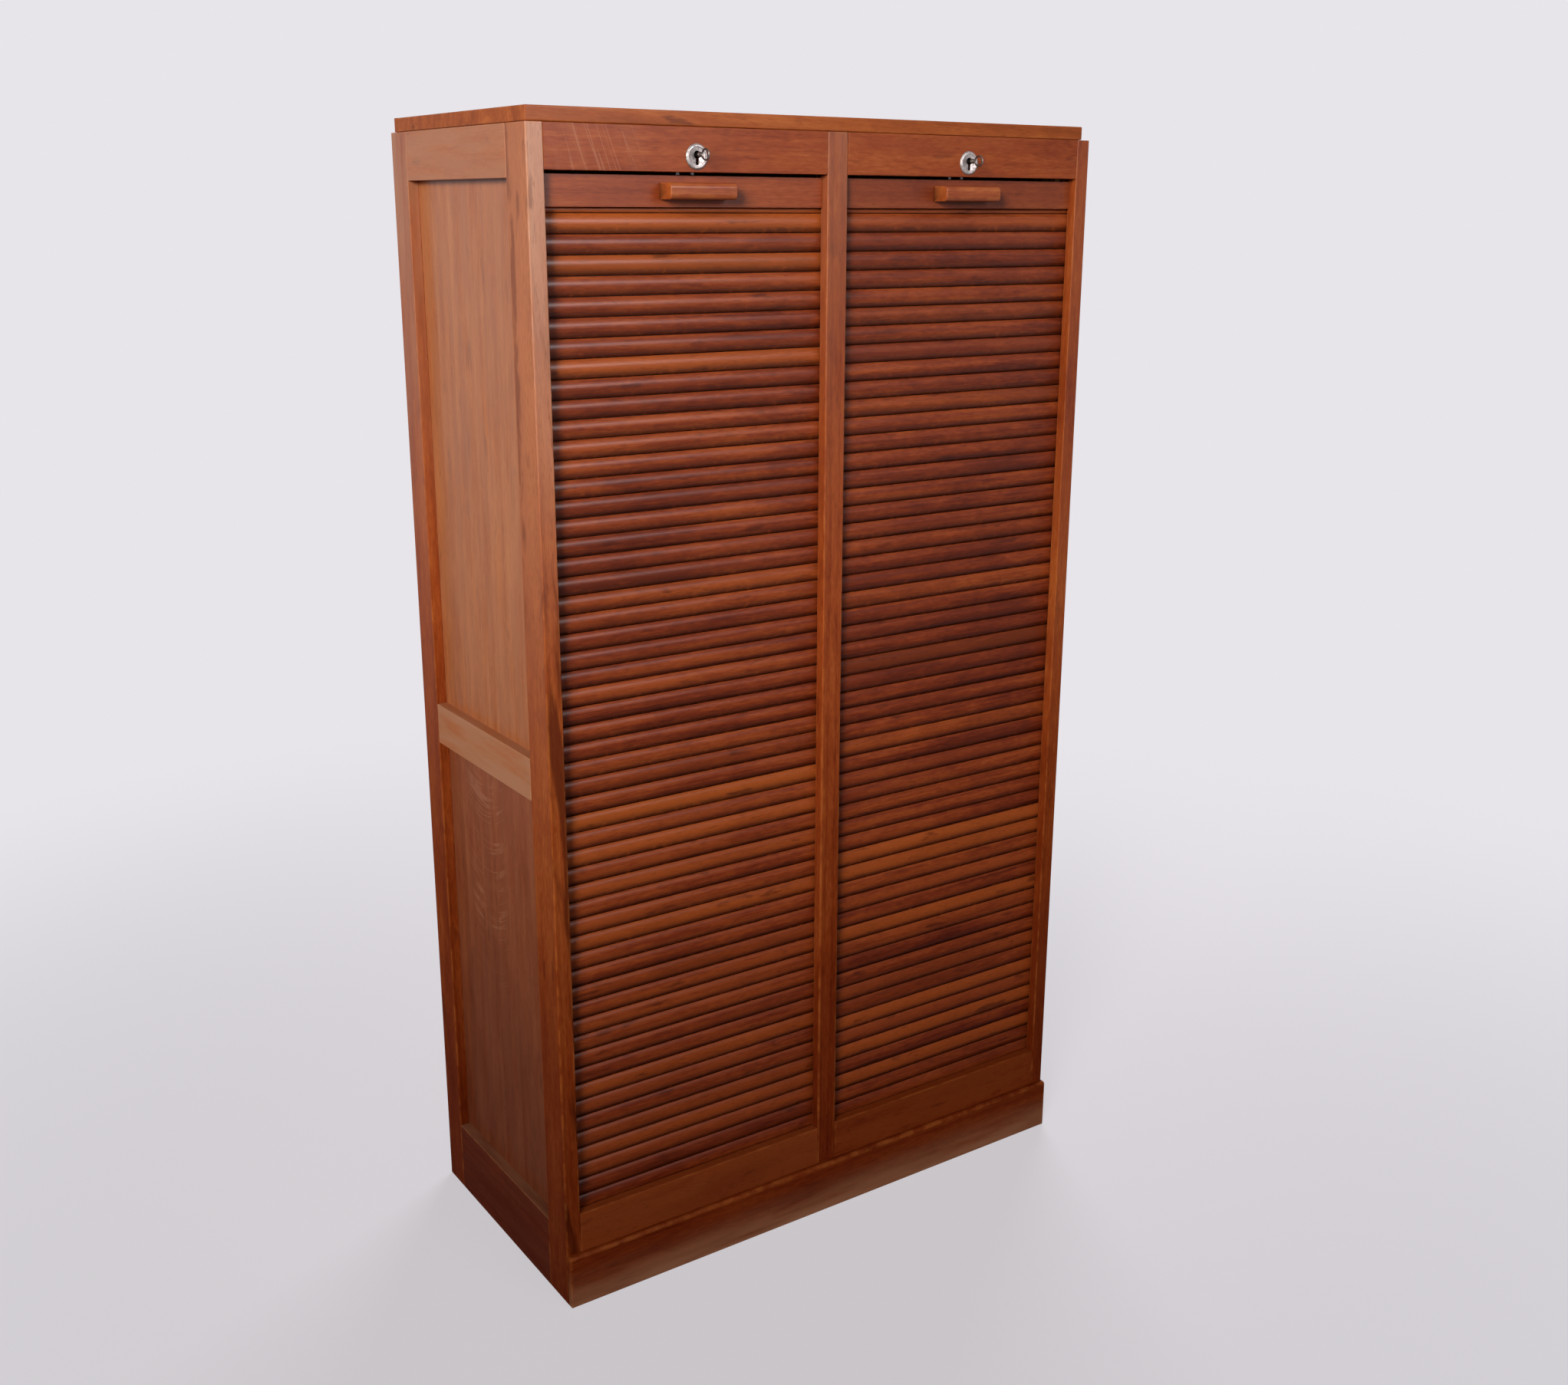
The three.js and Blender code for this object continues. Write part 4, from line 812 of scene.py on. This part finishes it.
def lock_plate(label):
    """A round plate with a bevelled rim. Each ring round the plate has its own radius and depth; from ring to ring the
    points follow rays from the keyhole's axis, and the first rings follow the keyhole."""
    name = f"lock_plate_{label}"
    low, high = limits(name)
    centre = (low + high) / 2
    radius = (high[X] - low[X]) / 2
    back, front = high[Y], low[Y]
    dish, rim = front + 0.8 * MM, radius - 5 * MM
    angle = np.linspace(0, 2 * np.pi, 96, endpoint=False)
    ray = np.stack([np.sin(angle), -np.cos(angle)], 1)
    with np.errstate(divide="ignore"):
        to_wall = KEYHOLE_HALF_SLOT / np.abs(ray[:, 0])
        to_foot = np.where(ray[:, 1] < 0, KEYHOLE_DROP / np.abs(ray[:, 1]), 0)
    hole = np.maximum(KEYHOLE_RADIUS, np.minimum(to_wall, to_foot))
    lift = np.array([0, KEYHOLE_RISE])

    def reach(size):
        """How far each ray runs to the circle of that radius about the plate's centre."""
        slant = ray @ lift
        return -slant + np.sqrt(slant**2 - lift @ lift + size**2)

    stations = [
        (hole, back), (hole, dish + 0.4 * MM), (hole + 0.12 * MM, dish + 0.1 * MM), (hole + 0.4 * MM, dish),
        (reach(rim), dish), (reach(rim + 0.3 * MM), dish - 0.1 * MM), (reach(rim + 0.8 * MM), front + 0.15 * MM),
        (reach(rim + 1.2 * MM), front), (reach(rim + 2.6 * MM), front + 0.05 * MM),
        (reach(rim + 3.0 * MM), front + 0.25 * MM), (reach(radius - 0.3 * MM), back - 1.1 * MM),
        (reach(radius), back - 0.8 * MM), (reach(radius), back),
    ]
    points = np.empty((len(stations), len(angle), 3))
    for row, (length, depth) in zip(points, stations):
        row[:, X] = centre[X] + ray[:, 0] * length
        row[:, Y] = depth
        row[:, Z] = centre[Z] + KEYHOLE_RISE + ray[:, 1] * length
    faces = lattice(len(stations), len(angle), round_rows=True, round_columns=True)
    points = points.reshape(-1, 3)
    piece(name + "_metal", (points, faces, np.zeros(len(points))), "carcass", nickel, (name,))


def key(label):
    """A key: a turned shank with collars, a bow that is a round bar bent into an oval, and a bit."""
    name = f"key_{label}"
    low, high = limits(name)
    plate = limits(f"lock_plate_{label}")
    axis = np.array([(plate[0, X] + plate[1, X]) / 2, 0, (plate[0, Z] + plate[1, Z]) / 2 + KEYHOLE_RISE])
    tip, end = high[Y], low[Y]
    neck = end + 2 * BOW_HALF_LENGTH
    profile = [(0, tip), (SHANK - 0.4 * MM, tip), (SHANK, tip - 0.5 * MM)]
    profile += [(radius * MM, neck + behind * MM) for radius, behind in COLLARS]
    around = np.linspace(0, 2 * np.pi, 56, endpoint=False)
    section = np.linspace(0, 2 * np.pi, 14, endpoint=False)
    half_y, half_z = BOW_HALF_LENGTH - BOW_WIRE, BOW_HALF_HEIGHT - BOW_WIRE
    ring = np.stack([np.cos(around) * half_y, np.sin(around) * half_z], 1)
    outward = np.stack([np.cos(around) * half_z, np.sin(around) * half_y], 1)
    outward /= np.linalg.norm(outward, axis=1, keepdims=True)
    points = np.empty((len(around), len(section), 3))
    points[..., X] = axis[X] + BOW_HALF_WIDTH * np.sin(section)
    points[..., Y] = end + BOW_HALF_LENGTH + ring[:, :1] + outward[:, :1] * BOW_WIRE * np.cos(section)
    points[..., Z] = axis[Z] + ring[:, 1:] + outward[:, 1:] * BOW_WIRE * np.cos(section)
    bow = points.reshape(-1, 3), lattice(len(around), len(section), True, True), np.zeros(points[..., X].size)
    bit_low = (axis[X] - 1.2 * MM, tip - 6.8 * MM, axis[Z] - 8 * MM)
    bit_high = (axis[X] + 1.2 * MM, tip - 0.6 * MM, axis[Z] - 1 * MM)
    shape = joined(turned(profile, axis, Y), bow, rounded_board(bit_low, bit_high, 0.3 * MM))
    piece(name + "_metal", shape, f"key_{label}_body", steel, (name,))


for side, label in SIDES:
    curtain(side, label)
    pull(label)
    lock_plate(label)
    key(label)


# ---- CAD nodes that stay

def kept(name, finish, eased=True):
    """Gives a CAD node its finish and, on wood, eased edges."""
    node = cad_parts[name]
    node.data.materials.clear()
    node.data.materials.append(finish)
    if eased:
        node.modifiers.new("joined", "WELD").merge_threshold = 1e-5
        bevel = node.modifiers.new("eased", "BEVEL")
        bevel.width, bevel.segments, bevel.limit_method, bevel.angle_limit = 0.7 * MM, 2, "ANGLE", math.radians(40)


for name in ("back_divider_post", "centre_partition"):
    kept(name, inside_upright)
kept("centre_bearer", inside_across)
for _, label in SIDES:
    kept(f"front_top_rail_{label}", oak_rail)
    kept(f"lead_rail_{label}", oak_lead)
    kept(f"side_lining_{label}", inside_upright)
    for name in (f"floor_board_{label}", *(f"shelf_{label}_{n}" for n in (1, 2, 3))):
        kept(name, inside_across)
    for name in (f"inner_back_{label}", f"back_panel_{label}"):
        kept(name, plywood)
    kept(f"curtain_tail_{label}", inside_across, eased=False)
    for name, finish in (("strike_plate", nickel), ("lock_case", steel), ("lock_bolt", nickel)):
        kept(f"{name}_{label}", finish, eased=False)


# ---- Stage, light and camera

BACKDROP = colour(232, 229, 234)
DARK_FLOOR = colour(60, 58, 60)
SOFT_LIGHT, SOFT_STRENGTH = (0.92, 0.94, 1.0, 1), 0.13
FLOOR_RADIUS = 14


def seen_rays(f):
    """1 for rays that see the backdrop and 0 for those that light the cabinet."""
    rays = f.node("ShaderNodeLightPath")
    camera, glossy, through = f.more(rays, ("Is Camera Ray", "Is Glossy Ray", "Is Transmission Ray"))
    return camera.maths("MAXIMUM", camera, glossy.maths("MAXIMUM", glossy, through))


def pale_floor():
    """Pale floor that turns into the backdrop away from the cabinet, and throws little light back up at it."""
    f = Finish(bpy.data.materials.new("pale floor"))
    distance = f.node("ShaderNodeVectorMath", {"operation": "LENGTH"}, {0: f.spot()}, "Value")
    seen = seen_rays(f)
    floor = f.node("ShaderNodeBsdfDiffuse", {}, {"Color": f.mix(seen, DARK_FLOOR, BACKDROP)})
    glow = f.node("ShaderNodeEmission", {}, {"Color": BACKDROP, "Strength": 1.0})
    share = seen * (0.6 + f.rise(distance, 0.9, 3.0) * 0.4)
    mixed = f.node("ShaderNodeMixShader", {}, {0: share, 1: floor, 2: glow})
    f.node("ShaderNodeOutputMaterial", {}, {"Surface": mixed})
    return f.owner


def studio():
    """Soft light from all round, seen as the backdrop."""
    f = Finish(bpy.data.worlds.new("studio"))
    soft = f.node("ShaderNodeBackground", {}, {"Color": SOFT_LIGHT, "Strength": SOFT_STRENGTH})
    shown = f.node("ShaderNodeBackground", {}, {"Color": BACKDROP, "Strength": 1.0})
    mixed = f.node("ShaderNodeMixShader", {}, {0: seen_rays(f), 1: soft, 2: shown})
    f.node("ShaderNodeOutputWorld", {}, {"Surface": mixed})
    return f.owner


def lamp(name, place, aim, width, height, power, tint, spread=180):
    """A soft lamp that faces its aim. spread is the angle of its cone of light, whose edge is soft."""
    light = bpy.data.lights.new(name, "AREA")
    light.shape, light.size, light.size_y, light.energy, light.color = "RECTANGLE", width, height, power, tint
    light.spread = math.radians(spread)
    made = bpy.data.objects.new(name, light)
    bpy.context.scene.collection.objects.link(made)
    made.location = place
    made.rotation_mode = "QUATERNION"
    made.rotation_quaternion = (made.location - Vector(aim)).to_track_quat("Z", "Y")
    return made


bpy.ops.mesh.primitive_circle_add(vertices=96, radius=FLOOR_RADIUS, fill_type="NGON")
floor = bpy.context.object
floor.name = "floor"
floor.data.materials.append(pale_floor())
bpy.context.scene.world = studio()

lamp("key", (-5.1, -3.9, 3.3), (-0.3, 0.1, 1.6), 2.4, 2.4, 26.5, (1, 0.97, 0.93), 33)
fill = lamp("fill", (0.3, -3.6, 2.6), (-0.1, 0, 1.1), 2.4, 2.4, 19, (1, 0.96, 0.94))
fill.visible_glossy = False
sheen = lamp("sheen", (0.6, -3.0, 2.65), (-0.4, -0.2, 1.4), 1.2, 0.8, 80, (1, 0.92, 0.95))
sheen.visible_diffuse = False
lamp("back light", (2.4, 2.4, 2.6), (0.2, 0, 0.9), 2.0, 2.0, 90, (1, 0.98, 1))

LENS = 38.3265
CAMERA_PLACE = (-1.50028, -2.28094, 1.67118)
HEADING, TILT, ROLL = math.radians(34.25467), math.radians(-16.14729), math.radians(0.22216)
camera = bpy.data.cameras.new("camera")
camera.sensor_fit, camera.sensor_width, camera.lens = "HORIZONTAL", 36, LENS
view = bpy.data.objects.new("camera", camera)
bpy.context.scene.collection.objects.link(view)
view.matrix_world = (
    Matrix.Translation(CAMERA_PLACE)
    @ Matrix.Rotation(-HEADING, 4, "Z")
    @ Matrix.Rotation(math.pi / 2 + TILT, 4, "X")
    @ Matrix.Rotation(ROLL, 4, "Z")
)
bpy.context.scene.camera = view
bpy.context.scene.view_settings.view_transform = "Standard"
